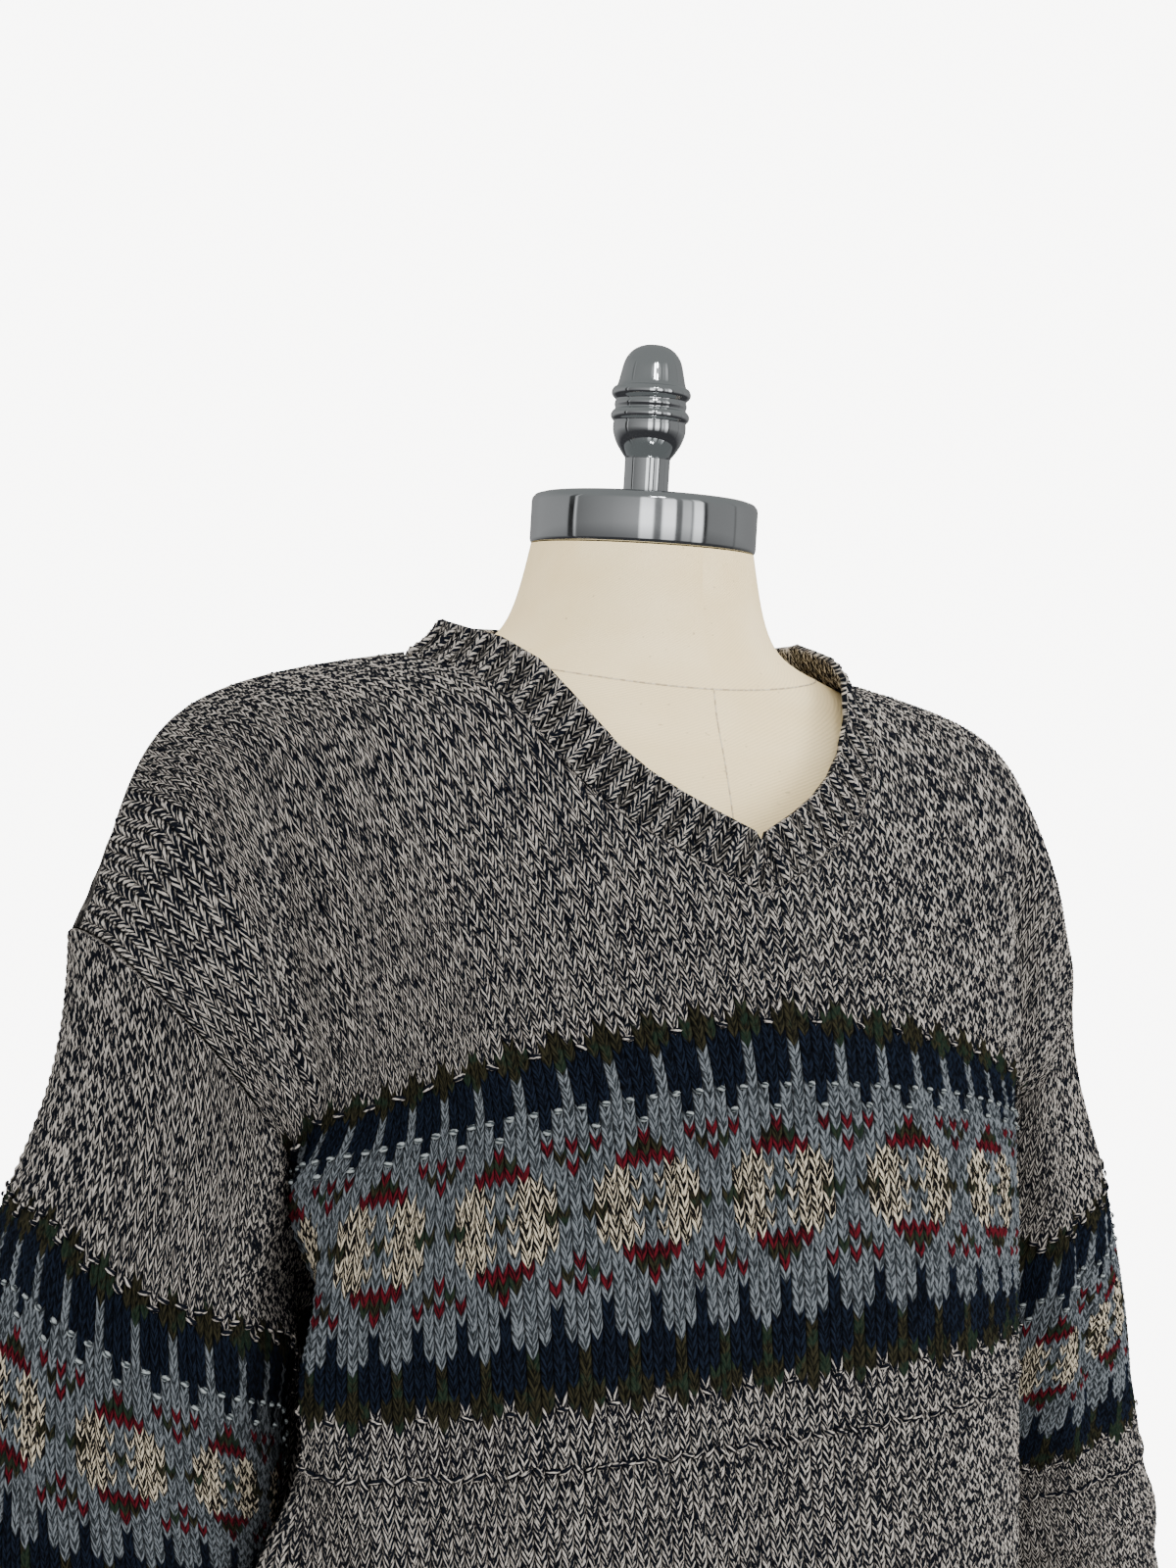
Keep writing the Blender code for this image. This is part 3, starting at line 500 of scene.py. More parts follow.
def stitch_yarn(chart_row, wale, phase):
    """The chart's letter for a row and a wale. One marl row below the band is purled."""
    if chart_row == -1 - WELT_BELOW:
        return "W"
    return CHART[chart_row][(wale + phase) % REPEAT] if chart_row >= 0 else "m"


def lay_net(across, low, high, creases, closed, fine, cut):
    """The net of a sheet: column lines, two levels to a row, and where each column starts and ends."""
    wales, rows, step = len(across) - 1, len(creases) - 1, 2 * fine
    cols = wales * step + (not closed)
    columns = np.arange(cols)
    line_at = np.interp(columns / step, np.arange(wales + 1), across)
    u = columns % step / step
    halves = np.arange(2 * rows + 1) / 2
    level = np.interp(halves, np.arange(rows + 1), creases)
    tall = np.interp(halves, np.arange(rows) + 0.5, np.diff(creases))
    up = level[:, None] + LEAN * (np.abs(2 * u - 1) - 0.5) * tall[:, None]
    bottom, top = low(line_at), high(line_at)
    noise = DRAW.normal(0.0, UNEVEN_MM, up.shape)
    first = np.maximum((up <= bottom + END_GAP).sum(0) - 1, 0)
    last = np.minimum(2 * rows + 1 - (up >= top - END_GAP).sum(0), 2 * rows)
    # a cut end follows a crease of the knitting, so that the next sheet goes on from it
    if cut[0]:
        first = np.full(cols, np.argmin(np.abs(level - bottom[0])))
        bottom = up[first[0]].copy()
        noise[first[0]] = 0.0
    if cut[1]:
        last = np.full(cols, np.argmin(np.abs(level - top[0])))
        top = up[last[0]].copy()
        noise[last[0]] = 0.0
    up[first, columns] = bottom
    up[last, columns] = top
    # each point of a column beyond the sheet's ends is that column's end point
    node = np.clip(np.arange(2 * rows + 1)[:, None], first, last) * cols + columns
    return SimpleNamespace(
        wales=wales, rows=rows, step=step, fine=fine, cols=cols, columns=columns, line_at=line_at, u=u,
        up=np.clip(up, bottom, top), bottom=bottom, top=top, noise=noise, first=first, last=last, node=node,
        closed=closed, cut=cut, spans=cols - (not closed))


def relief(net, chart, ribs, welt):
    """How far each point of the net stands out, in millimetres."""
    quarter = (net.u * 4).astype(int)
    crease, ridge = np.array(CREASE_RISE)[quarter], np.array(RIDGE_RISE)[quarter]
    if ribs:
        purl = net.columns // net.step % 2 == 1
        crease = np.where(purl, np.array(PURL_CREASE)[quarter], crease + np.array(RIB_RISE)[quarter])
        ridge = np.where(purl, np.array(PURL_RIDGE)[quarter], ridge + np.array(RIB_RISE)[quarter])
    levels = np.arange(2 * net.rows + 1)
    rise = np.where((levels % 2 == 0)[:, None], crease, ridge) + net.noise
    if welt:
        row_of = np.minimum(levels // 2, net.rows - 1)
        rise = rise + np.where(chart[row_of] == -1 - WELT_BELOW, WELT_RISE * net.fine / 2, 0.0)[:, None]
    return rise


def stitches(net, letters, leg_mm):
    """The net's outer triangles, with their places along the yarn in millimetres, yarns and lots."""
    right = (net.columns[:net.spans] + 1) % net.cols
    i_of, j_of = np.broadcast_arrays(np.arange(2 * net.rows)[:, None], np.arange(net.spans)[None, :])
    k = j_of % net.step
    left_leg = k < net.fine
    k = np.where(left_leg, k, net.step - 1 - k)
    near, far = k / net.fine * leg_mm, (k + 1) / net.fine * leg_mm
    x0, x1 = np.where(left_leg, near, far), np.where(left_leg, far, near)
    y0 = (i_of % 2) * LEG_WIDE_MM / 2
    y1 = y0 + LEG_WIDE_MM / 2
    corner = {"a": (net.node[:-1, :net.spans], x0, y0), "b": (net.node[:-1, right], x1, y0),
              "c": (net.node[1:, right], x1, y1), "d": (net.node[1:, :net.spans], x0, y1)}
    # each small face is crossed so that a leg has one high point
    peak_right = (j_of % 2 == 0) if net.fine == 2 else np.zeros_like(j_of, bool)
    diagonal = ((i_of % 2 == 0) == peak_right)[..., None]
    row_i, wale_j = i_of // 2, j_of // net.step
    leg_id = (row_i * net.wales + wale_j) * 2 + left_leg
    lots = DRAW.random((net.rows * net.wales * 2 + 2, 3))
    shift = lots[leg_id, 1:3][..., None, :] * YARN_RUN_MM
    tris, uvs = [], []
    for crossed, other in (("abc", "abd"), ("acd", "bcd")):
        picked = [np.where(diagonal, np.stack([corner[c][k] for c in crossed], -1),
                           np.stack([corner[c][k] for c in other], -1)) for k in range(3)]
        tris.append(picked[0].reshape(-1, 3))
        uvs.append((np.stack(picked[1:], -1) + shift).reshape(-1, 3, 2))
    ground = np.vectorize(lambda x: YARNS.index(BUMPS[x][0] if x in BUMPS else x))(letters)
    tris, uvs = np.concatenate(tris), np.concatenate(uvs)
    yarns = np.tile(ground[row_i, wale_j].reshape(-1), 2)
    lot = np.tile(lots[leg_id, 0].reshape(-1), 2)
    keep = (tris[:, 0] != tris[:, 1]) & (tris[:, 1] != tris[:, 2]) & (tris[:, 0] != tris[:, 2])
    return tris[keep], uvs[keep], yarns[keep], lot[keep]


def second_side(net, outer, count):
    """The outer side's lattice turned round, and the rims that close the wall, for a short double rib."""
    tris, uvs, yarns, lot = outer
    rims = []
    for line in (net.node[0], net.node[-1]):
        ring = list(line) + ([line[0]] if net.closed else [])
        for p, q in zip(ring[:-1], ring[1:]):
            rims.append((p, q, q + count))
            rims.append((p, q + count, p + count))
    rim_uvs = np.zeros((len(rims), 3, 2)) + DRAW.random((len(rims), 1, 2)) * RIM_RUN_MM
    return (np.vstack([tris[:, ::-1] + count, np.array(rims)]), np.concatenate([uvs[:, ::-1], rim_uvs]),
            np.concatenate([yarns, np.zeros(len(rims))]), np.concatenate([lot, DRAW.random(len(rims))]))


def lining(net, share, inner_cols, count):
    """The plain inside, one face a wale, and the rims that close the wall."""
    grid = count + np.arange(share.size * len(inner_cols)).reshape(share.size, -1)
    if net.closed:
        grid = np.hstack([grid, grid[:, :1]])
    a, b, c, d = grid[:-1, :-1], grid[:-1, 1:], grid[1:, 1:], grid[1:, :-1]
    inside = [np.stack([a, c, b], -1).reshape(-1, 3), np.stack([a, d, c], -1).reshape(-1, 3)]
    t_out = np.arange(net.spans + 1) / net.spans
    t_in = inner_cols / net.spans
    rims = []
    for edge in (0, -1):
        line = net.node[edge]
        if net.closed:
            line = np.append(line, line[0])
        rims += zip_lines(line, grid[edge], t_out, np.append(t_in, 1.0) if net.closed else t_in)
    if not net.closed:
        for j, k in ((0, 0), (net.cols - 1, len(inner_cols) - 1)):
            run = slice(net.first[j], net.last[j] + 1)
            t_run = (net.up[run, j] - net.bottom[j]) / (net.top[j] - net.bottom[j])
            rims += zip_lines(net.node[run, j], grid[:, k], t_run, share[:, 0])
    tris = np.vstack(inside + [np.array(rims)])
    uvs = np.array([[(0.0, 0.0), (6.0, 0.0), (6.0, 6.0)]]) + DRAW.random((len(tris), 1, 2)) * RIM_RUN_MM
    return tris, uvs, np.zeros(len(tris)), DRAW.random(len(tris))


def bump_shape():
    """One purl bump: a low dome of seventeen points, as long as it is across the wale, and its triangles."""
    turn = np.linspace(0, 2 * np.pi, 8, endpoint=False)
    ring = [(0.0, 0.0, 1.0)] + [(0.62 * math.cos(q), 0.62 * math.sin(q), 0.72) for q in turn]
    ring += [(math.cos(q), math.sin(q), -0.1) for q in turn]
    fan = [(0, 1 + q, 1 + (q + 1) % 8) for q in range(8)]
    fan += [(1 + q, 9 + q, 9 + (q + 1) % 8) for q in range(8)]
    fan += [(1 + q, 9 + (q + 1) % 8, 1 + (q + 1) % 8) for q in range(8)]
    fan += [(9, 9 + q + 1, 9 + q) for q in range(1, 7)]
    return np.array(ring) * (BUMP_LONG, BUMP_HIGH, BUMP_DEEP), np.array(fan)


def purl_bumps(net, letters, spots, away, base):
    """Short loops of yarn that lie across the wale: their points and, like the stitches, triangles."""
    r, w = np.array([(r, w) for r in range(net.rows) for w in range(net.wales) if letters[r, w] in BUMPS]).T
    j, i = np.minimum(w * net.step + net.fine, net.cols - 1), 2 * r + 1
    free = (net.up[i, j] > net.bottom[j] + BUMP_FREE) & (net.up[i, j] < net.top[j] - BUMP_FREE)
    r, w, j, i = r[free], w[free], j[free], i[free]
    n_at = away[i, j]
    side = spots[i, np.minimum(j + 1, net.cols - 1)] - spots[i, j - 1]
    side = unit(side - n_at * (side * n_at).sum(-1, keepdims=True))
    rise_way = np.cross(n_at, side)
    ring, fan = bump_shape()
    habits = [BUMPS[letters[p, q]] for p, q in zip(r, w)]
    size, tilt = np.array([habit[2:] for habit in habits]).reshape(-1, 2).T[:, :, None]
    tilt = tilt * DRAW.uniform(-1.0, 1.0, tilt.shape)
    side, rise_way = (size * (side * np.cos(tilt) + rise_way * np.sin(tilt)),
                      rise_way * np.cos(tilt) - side * np.sin(tilt))
    centre = spots[i, j] + n_at * BUMP_OUT
    cloud = (centre[:, None] + ring[:, 0:1] * side[:, None] + ring[:, 1:2] * rise_way[:, None]
             + ring[:, 2:3] * n_at[:, None])
    tris = (fan[None] + (base + len(ring) * np.arange(len(r)))[:, None, None]).reshape(-1, 3)
    places = ring[:, :2] * 1000.0
    uvs = (places[fan][None] + DRAW.random((len(r), 1, 1, 2)) * BUMP_RUN_MM).reshape(-1, 3, 2)
    yarns = np.array([YARNS.index(habit[1]) for habit in habits]) + 0.0
    lot = 0.15 + 0.2 * DRAW.random(len(r))
    return cloud.reshape(-1, 3), (tris, uvs, np.repeat(yarns, len(fan)), np.repeat(lot, len(fan)))


def knit(name, across, low, high, creases, chart, where, closed, material,
         ribs=False, phase=0, fine=2, lining_rows=16, both_sides=False, welt=False, cut=(False, False)):
    """One sheet of knitting. across holds the wale edges; low and high give the sheet's ends for a place
    across; where(across, up) gives places and outward directions."""
    net = lay_net(across, low, high, creases, closed, fine, cut)
    rise = relief(net, chart, ribs, welt)
    # no relief at a sewn edge
    edge = np.minimum(1.0 if cut[0] else net.up - net.bottom, 1.0 if cut[1] else net.top - net.up)
    soft = smooth(edge / 0.001)
    spots, away = where(np.broadcast_to(net.line_at, net.up.shape), net.up)
    points = [(spots + away * (WALL / 2 + rise * soft * 0.001)[..., None]).reshape(-1, 3)]
    # each point's depth from 0 to 1: the material darkens the low points, a painted shade in the creases
    # between the stitches
    deep = [(np.clip((rise + 0.6) / 1.5, 0.0, 1.0) * soft + 0.5 * (1 - soft)).reshape(-1)]
    # the streaks of a rib run by its share of the way round, so they are longer on a short rib
    half_wale = 0.5 * (across[1] - across[0] if ribs else PLAIN_WALE)
    letters = np.array([[stitch_yarn(chart[r], w, phase) for w in range(net.wales)] for r in range(net.rows)])
    faces = [stitches(net, letters, math.hypot(half_wale * 1000, LEAN * PLAIN_ROW * 1000))]
    count = net.up.size
    if both_sides:
        back_rise = np.where((np.arange(2 * net.rows + 1) % 2 == 0)[:, None], -0.5, 0.0) + 0.0 * rise
        if ribs:
            purl = net.columns // net.step % 2 == 1
            back_rise = back_rise + np.where(purl, np.array(RIB_RISE)[(net.u * 4).astype(int)], 0.0)
        points.append((spots - away * (WALL / 2 + back_rise * soft * 0.001)[..., None]).reshape(-1, 3))
        # the back of the double rib is set high enough to get no painted shade
        deep.append(np.full(count, 0.6))
        faces.append(second_side(net, faces[0], count))
    else:
        inner_cols = net.columns[::net.step]
        share = np.linspace(0.0, 1.0, lining_rows + 1)[:, None]
        in_up = net.bottom[inner_cols] * (1 - share) + net.top[inner_cols] * share
        spots_in, away_in = where(np.broadcast_to(net.line_at[inner_cols], in_up.shape), in_up)
        points.append((spots_in - away_in * (WALL / 2)).reshape(-1, 3))
        # the inside gets a light painted shade
        deep.append(np.full(in_up.size, 0.35))
        faces.append(lining(net, share, inner_cols, count))
    if any(letter in BUMPS for letter in letters.flat):
        cloud, bumps = purl_bumps(net, letters, spots, away, sum(len(p) for p in points))
        points.append(cloud)
        # the purl bumps are set high enough to get no painted shade
        deep.append(np.full(len(cloud), 0.95))
        faces.append(bumps)
    tris, uvs, yarns, lot = (np.concatenate(kind) for kind in zip(*faces))
    return sheet_mesh(name, np.vstack(points), tris, uvs, yarns, lot, np.concatenate(deep), material)


def sheet_mesh(name, points, tris, uvs, yarns, lot, deep, material):
    """A sheet's mesh with its yarn, lot and depth attributes (the depth is for the painted shade), without
    points that no face uses.
    """
    used, tris = np.unique(tris, return_inverse=True)
    tris = tris.reshape(-1, 3)
    mesh = bpy.data.meshes.new(name)
    mesh.vertices.add(len(used))
    mesh.vertices.foreach_set("co", points[used].astype(np.float32).ravel())
    mesh.loops.add(len(tris) * 3)
    mesh.loops.foreach_set("vertex_index", tris.astype(np.int32).ravel())
    mesh.polygons.add(len(tris))
    mesh.polygons.foreach_set("loop_start", np.arange(0, len(tris) * 3, 3, dtype=np.int32))
    mesh.update(calc_edges=True)
    mesh.uv_layers.new(name="leg").data.foreach_set("uv", uvs.astype(np.float32).ravel())
    for key, domain, values in (("yarn", "FACE", yarns), ("lot", "FACE", lot), ("rise", "POINT", deep[used])):
        mesh.attributes.new(key, "FLOAT", domain).data.foreach_set("value", values.astype(np.float32))
    thing = new_piece(name, mesh, material)
    mesh.polygons.foreach_set("use_smooth", np.ones(len(tris), bool))
    print(name, len(tris), "triangles")
    return thing


def new_piece(name, mesh, material):
    """A mesh as a piece of the scene, its faces turned outwards."""
    work = bmesh.new()
    work.from_mesh(mesh)
    bmesh.ops.recalc_face_normals(work, faces=work.faces)
    work.to_mesh(mesh)
    work.free()
    mesh.materials.append(material)
    thing = bpy.data.objects.new(name, mesh)
    bpy.context.scene.collection.objects.link(thing)
    return thing


def level_end(height):
    """An end of a sheet at one height all the way across."""
    return lambda at: 0 * at + height


def along_table(table, x):
    return np.interp(x, [row[0] for row in table], [row[1] for row in table])


# Front and back panels
def folds_at(a, b, folds, girth=None):
    """Height of the worn folds at places (a, b) on a flat piece, or round a sleeve of a given girth."""
    total = 0.0 * (a + b)
    for a0, b0, heading, long, wide, height in folds:
        x, y = a - a0, b - b0
        if girth:
            x = ((x / girth + 0.5) % 1.0 - 0.5) * girth
        c, s = math.cos(math.radians(heading)), math.sin(math.radians(heading))
        total = total + height * np.exp(-((x * c + y * s) / long) ** 2 - ((y * c - x * s) / wide) ** 2)
    return total


# Worn folds, each a soft ridge or, where its height is below nothing, a trough: middle across and up the
# cloth, heading in degrees, length, width, height
FRONT_FOLDS = (
    (-0.15, 0.522, 18, 0.10, 0.016, -0.0018), (-0.16, 0.560, 20, 0.10, 0.020, 0.0042),
    (0.17, 0.555, -32, 0.08, 0.018, 0.0030), (-0.262, 0.41, 78, 0.08, 0.014, 0.0040),
    (-0.240, 0.24, 68, 0.10, 0.016, 0.0050), (0.250, 0.30, -72, 0.11, 0.016, 0.0050),
    (-0.10, 0.130, 14, 0.12, 0.020, 0.0032), (0.12, 0.150, -12, 0.13, 0.020, 0.0036),
    (0.02, 0.235, 4, 0.14, 0.024, 0.0024), (-0.184, 0.290, -68, 0.080, 0.014, 0.0070),
    (-0.216, 0.285, -68, 0.085, 0.017, -0.0120), (-0.260, 0.551, 90, 0.058, 0.013, -0.0065),
    (-0.286, 0.551, 90, 0.058, 0.012, 0.0035),
)
BACK_FOLDS = (
    (-0.14, 0.560, 24, 0.10, 0.020, 0.0040), (0.15, 0.550, -26, 0.10, 0.020, 0.0040),
    (0.250, 0.38, -76, 0.09, 0.014, 0.0045), (-0.245, 0.33, 74, 0.10, 0.015, 0.0045),
    (0.09, 0.240, -10, 0.14, 0.022, 0.0036), (-0.08, 0.150, 12, 0.13, 0.020, 0.0040),
    (0.13, 0.125, -6, 0.11, 0.016, 0.0030),
)
# Places on a sleeve: round it from the shoulder by the front, and down it
SLEEVE_FOLDS = (
    (0.20, 0.070, -35, 0.07, 0.014, 0.0035), (0.15, 0.300, -15, 0.09, 0.013, 0.0050),
    (0.19, 0.345, 10, 0.08, 0.012, 0.0050), (0.10, 0.370, -8, 0.09, 0.012, 0.0055),
    (0.02, 0.330, 15, 0.08, 0.013, 0.0050), (0.40, 0.340, -12, 0.09, 0.013, 0.0050),
    (0.33, 0.390, 8, 0.09, 0.011, 0.0050), (0.46, 0.280, 20, 0.08, 0.014, 0.0040),
    (0.07, 0.200, 62, 0.07, 0.016, 0.0030), (0.38, 0.160, -50, 0.07, 0.016, 0.0035),
)
# The wearer's left sleeve has one deep fold down its front
LEFT_SLEEVE_FOLDS = ((0.142, 0.140, 88, 0.13, 0.011, 0.0060), (0.118, 0.140, 88, 0.13, 0.009, -0.0070))
SLEEVE_GIRTH = 0.52
FOLD_FADE = 0.03


def wale_drift(s, up, back):
    """How far a wale has drifted sideways: the worn panel leans, but keeps to its side seams."""
    t = np.abs(s) / PANEL_HALF
    lean = WALE_SLANT * np.clip(0.432 - up, -0.35, 0.20)
    lean = lean - SHOULDER_SLANT * np.maximum(0.0, up - 0.49) * smooth(0.5 - s / 0.2)
    return lean * (1 - t ** 2) * (-1 if back else 1)


def panel_where(back):
    """Places and outward directions on a worn panel."""
    def where(s, up):
        s = s + wale_drift(s, up, back)
        t = np.abs(s) / PANEL_HALF
        away = facing(s, up, back)
        # at a sewn edge the cloth faces midway between its own way and the other panel's
        near_side = smooth(1 - (1 - t) / 0.03) * (up < UNDERARM_H + 0.002)
        near_top = smooth(1 - (shoulder_h(s) - up) / 0.010) * (np.abs(s) > NECK_HALF - 0.002)
        away = unit(away + np.maximum(near_side, near_top)[..., None] * facing(s, up, not back))
        free = smooth((PANEL_HALF - np.abs(s)) / FOLD_FADE) * smooth((up - HEM_RIB_H) / 0.04)
        free = free * smooth((neck_line_h(s, back) - up) / FOLD_FADE)
        high = free * folds_at(s, up, BACK_FOLDS if back else FRONT_FOLDS)
        return place(s, up, back) + away * high[..., None], away
    return where


def neck_line_h(s, back):
    """Height of the neckline over a place across the panel."""
    flat = bezier(BACK_NECK if back else FRONT_NECK, np.linspace(0.0, 1.0, 201))
    inside = np.interp(np.abs(s), flat[:, 0], flat[:, 1])
    return np.where(np.abs(s) < NECK_HALF, inside, shoulder_h(s))


def panel_pieces(side_name, back, material):
    """A panel in two sheets, cut at the band's top row so that each stays light enough."""
    across = along_table(WALE_SPREAD, np.linspace(-1.0, 1.0, PANEL_WALES + 1)) * (PANEL_HALF - SEAM / 2)
    tries = np.linspace(BAND_HIGH_H, SHOULDER_CENTRE_H, 1200)[:, None]

    def top_of(s):
        over = tries >= neck_line_h(s + wale_drift(s, tries, back), back) - SEAM / 2
        return tries[np.argmax(over | (tries == tries[-1]), axis=0), 0]

    creases, chart = crease_heights(HEM_RIB_H, SHOULDER_CENTRE_H, BAND_LOW_H, BAND_HIGH_H)
    cut_row, made = level_end(BAND_HIGH_H), []
    for part, low, high, cut in (("body", level_end(HEM_RIB_H + SEAM / 2), cut_row, (False, True)),
                                 ("yoke", cut_row, top_of, (True, False))):
        made.append(knit(f"{side_name}_{part}_knit", across, low, high, creases, chart, panel_where(back),
                         False, material, phase=PANEL_PHASE, fine=1 if back else 2, welt=True, cut=cut))
    return made


def smooth_start(side):
    """How far a sleeve's first ring stands off the armhole edge of the two panels, round the sleeve."""
    share = np.arange(SLEEVE_STATIONS) / SLEEVE_STATIONS
    front = (share <= 0.5)[:, None]
    f = np.where(share <= 0.5, share * 2, (1 - share) * 2)
    h = SHOULDER_END_H + (UNDERARM_H - SHOULDER_END_H) * f
    s = np.full(len(share), side * PANEL_HALF)
    edge_normal = np.where(front, facing(s, h, False), facing(s, h, True))
    both = (f < 0.02) | (f > 0.98)
    edge_normal[both] = facing(s, h, False)[both] + facing(s, h, True)[both]
    edge_normal = unit(edge_normal)
    point = sleeve_surface(share, 0 * share, side)
    along = np.roll(point, -4, 0) - np.roll(point, 4, 0)
    leave = unit(np.cross(along, edge_normal))
    inside = np.where(front, place(s - side * 0.01, h, False), place(s - side * 0.01, h, True))
    leave *= np.where(((point - inside) * leave).sum(-1) < 0, -1.0, 1.0)[:, None]
    under = f > 0.97
    leave[under] = UPWARDS - edge_normal[under] * edge_normal[under][:, 2:]
    go = sleeve_surface(share, 0 * share + 0.014, side) - point
    return beside(point, unit(leave), edge_normal, go) - point


# How far the rows of a worn sleeve sag, round the sleeve from the shoulder by the front; its wales turn too
SLEEVE_SAG = ((0.0, 0.020), (0.12, 0.013), (0.19, 0.0), (0.24, -0.013), (0.285, -0.023), (0.325, -0.030),
              (0.38, -0.040), (0.46, -0.038), (0.55, -0.026), (0.70, -0.004), (0.85, 0.012), (1.0, 0.020))
SLEEVE_SAG_END = 0.28
SLEEVE_TURN = 0.56
SLEEVE_TURN_END = 0.26


def sleeve_where(side):
    """Places and outward directions on a worn sleeve."""
    stand_off = smooth_start(side)
    stations = np.linspace(0.0, 1.0, len(stand_off) + 1)
    stand_off = np.vstack([stand_off, stand_off[:1]])
    folds = SLEEVE_FOLDS + (LEFT_SLEEVE_FOLDS if side > 0 else ())

    def where(share, up):
        length = np.maximum(-up, 0.0)
        share = (share + SLEEVE_TURN * np.minimum(length, SLEEVE_TURN_END)) % 1.0
        share, length = np.broadcast_arrays(share, length)
        sag = np.interp(share, *np.array(SLEEVE_SAG).T)
        length = length + sag * np.minimum(length / SLEEVE_BAND_TOP, 1.0) * smooth(
            (SLEEVE_LENGTH - length) / (SLEEVE_LENGTH - SLEEVE_SAG_END))
        off = np.stack([np.interp(share, stations, stand_off[:, k]) for k in range(3)], -1)
        spots = sleeve_surface(share, length, side) + SEAM_CLOSE * off * (1 - smooth(length / 0.014))[..., None]
        away = sleeve_facing(share, length, side)
        free = smooth(length / 0.04) * smooth((SLEEVE_LENGTH - length) / FOLD_FADE)
        high = free * folds_at(share * SLEEVE_GIRTH, length, folds, SLEEVE_GIRTH)
        return spots + away * high[..., None], away
    return where


def sleeve_piece(name, side, material):
    creases, chart = crease_heights(-SLEEVE_LENGTH, 0.0, -SLEEVE_BAND_TOP - SLEEVE_BAND_TALL, -SLEEVE_BAND_TOP)
    return knit(name, np.linspace(0.0, 1.0, SLEEVE_WALES + 1), level_end(-SLEEVE_LENGTH + SEAM / 2),
                level_end(0.0), creases, chart, sleeve_where(side), True, material,
                phase=SLEEVE_PHASE[side], welt=True)


def hem_where(t, up):
    """Places and outward directions on the hem rib; t runs round it."""
    t = t % 1.0
    is_back = (t >= 0.5)
    s = np.where(is_back, 3.0 - 4.0 * t, 4.0 * t - 1.0) * PANEL_HALF
    is_back = is_back[..., None]
    spots = np.where(is_back, place(s, up, True), place(s, up, False))
    above = up + 0.003
    front_way, back_way = facing(s, above, False), facing(s, above, True)
    w = smooth(1 - (1 - np.abs(s) / PANEL_HALF) / 0.03)[..., None]
    return spots, unit(np.where(is_back, back_way + w * front_way, front_way + w * back_way))


def hem_piece(material):
    wales = HEM_RIBS * 2 // 4 * 4
    creases, chart = crease_heights(0.0, HEM_RIB_H - SEAM / 2, plain=RIB_ROW)
    return knit("hem_knit", np.linspace(0.0, 1.0, wales + 1), level_end(0.0), level_end(HEM_RIB_H - SEAM / 2),
                creases, chart, hem_where, True, material, ribs=True, lining_rows=4)


def cuff_where(side):
    def where(share, up):
        share, down = np.broadcast_arrays(share % 1.0, -up)
        start = sleeve_surface(share, np.full_like(share, SLEEVE_LENGTH), side)
        z = start[..., 2] - SEAM / 2 - down
        angle = 2 * np.pi * share
        spots = np.stack([side * (sleeve_middle(z, side) + by_height(SLEEVE_SECTIONS, z, 2) * np.cos(angle)),
                          -by_height(SLEEVE_SECTIONS, z, 3) * np.sin(angle), z], -1)
        return spots, np.stack([side * np.cos(angle), -np.sin(angle), 0 * angle], -1)
    return where


def cuff_piece(name, side, material):
    creases, chart = crease_heights(-CUFF_LENGTH, 0.0, plain=RIB_ROW)
    return knit(name, np.linspace(0.0, 1.0, CUFF_RIBS * 2 + 1), level_end(-CUFF_LENGTH), level_end(0.0),
                creases, chart, cuff_where(side), True, material, ribs=True, lining_rows=4)


# The neckband: what it leans in towards, and how far the ribs beside the V keep from the middle
NECK_MIDDLE = np.array([0.0, 0.0, 1.47])
MITRE_STEP = 0.0012


def band_lines(count):
    """Three lines round the neckband, from the neckline to its free edge, and their outward directions."""
    spot, away = neck_line(count)
    along = unit(np.roll(spot, -4, 0) - np.roll(spot, 4, 0))
    inward = unit(np.cross(away, along))
    inward *= np.where(((NECK_MIDDLE - spot) * inward).sum(1) < 0, -1.0, 1.0)[:, None]
    standing = smooth((spot[:, 2] - 1.37) / 0.09)[:, None]
    rows, ways = [], []
    for k in range(3):
        lift = standing * (0.12 + 0.42 * (k / 2.0))
        go = unit(inward * (1 - lift) + UPWARDS * lift)
        if k == 0:
            rows.append(beside(spot + inward * SEAM, inward, away, go))
        else:
            rows.append(rows[-1] + go * (NECKBAND_WIDTH / 2))
        n = np.cross(along, go)
        ways.append(unit(n * np.where((n * away).sum(1) < 0, -1.0, 1.0)[:, None]))
    # at the V the two ends meet on the middle, and the ribs beside it stay on their own side
    near = np.arange(count)
    floor = MITRE_STEP * np.minimum(np.minimum(near, count - near) * (NECK_RIBS * 2 / count), 6)
    right = (near > 0) & (near < count // 4)
    left = near > count - count // 4
    for line in rows[1:]:
        x = line[:, 0]
        x[0] = 0.0
        x[right] = np.maximum(x[right], floor[right])
        x[left] = np.minimum(x[left], -floor[left])
    return np.array(rows), np.array(ways)


def neckband_piece(material):
    count = NECK_RIBS * 2 * 4
    rows, ways = (np.concatenate([lines, lines[:, :1]], 1) for lines in band_lines(count))
    stations = np.linspace(0.0, 1.0, count + 1)

    def where(t, up):
        t, w = np.broadcast_arrays(t % 1.0, up / NECKBAND_WIDTH)
        at = lambda lines, k: np.stack([np.interp(t, stations, lines[k][:, q]) for q in range(3)], -1)
        low, mid, high = (at(rows, k) for k in range(3))
        w = w[..., None]
        bend = 2 * mid - 0.5 * (low + high)
        spots = low * (1 - w) ** 2 + 2 * bend * w * (1 - w) + high * w * w
        return spots, unit(at(ways, 0) * (1 - w) ** 2 + 2 * at(ways, 1) * w * (1 - w) + at(ways, 2) * w * w)

    creases, chart = crease_heights(0.0, NECKBAND_WIDTH, plain=RIB_ROW)
    return knit("neckband_knit", np.linspace(0.0, 1.0, NECK_RIBS * 2 + 1), level_end(0.0),
                level_end(NECKBAND_WIDTH), creases, chart, where, True, material, ribs=True, both_sides=True)


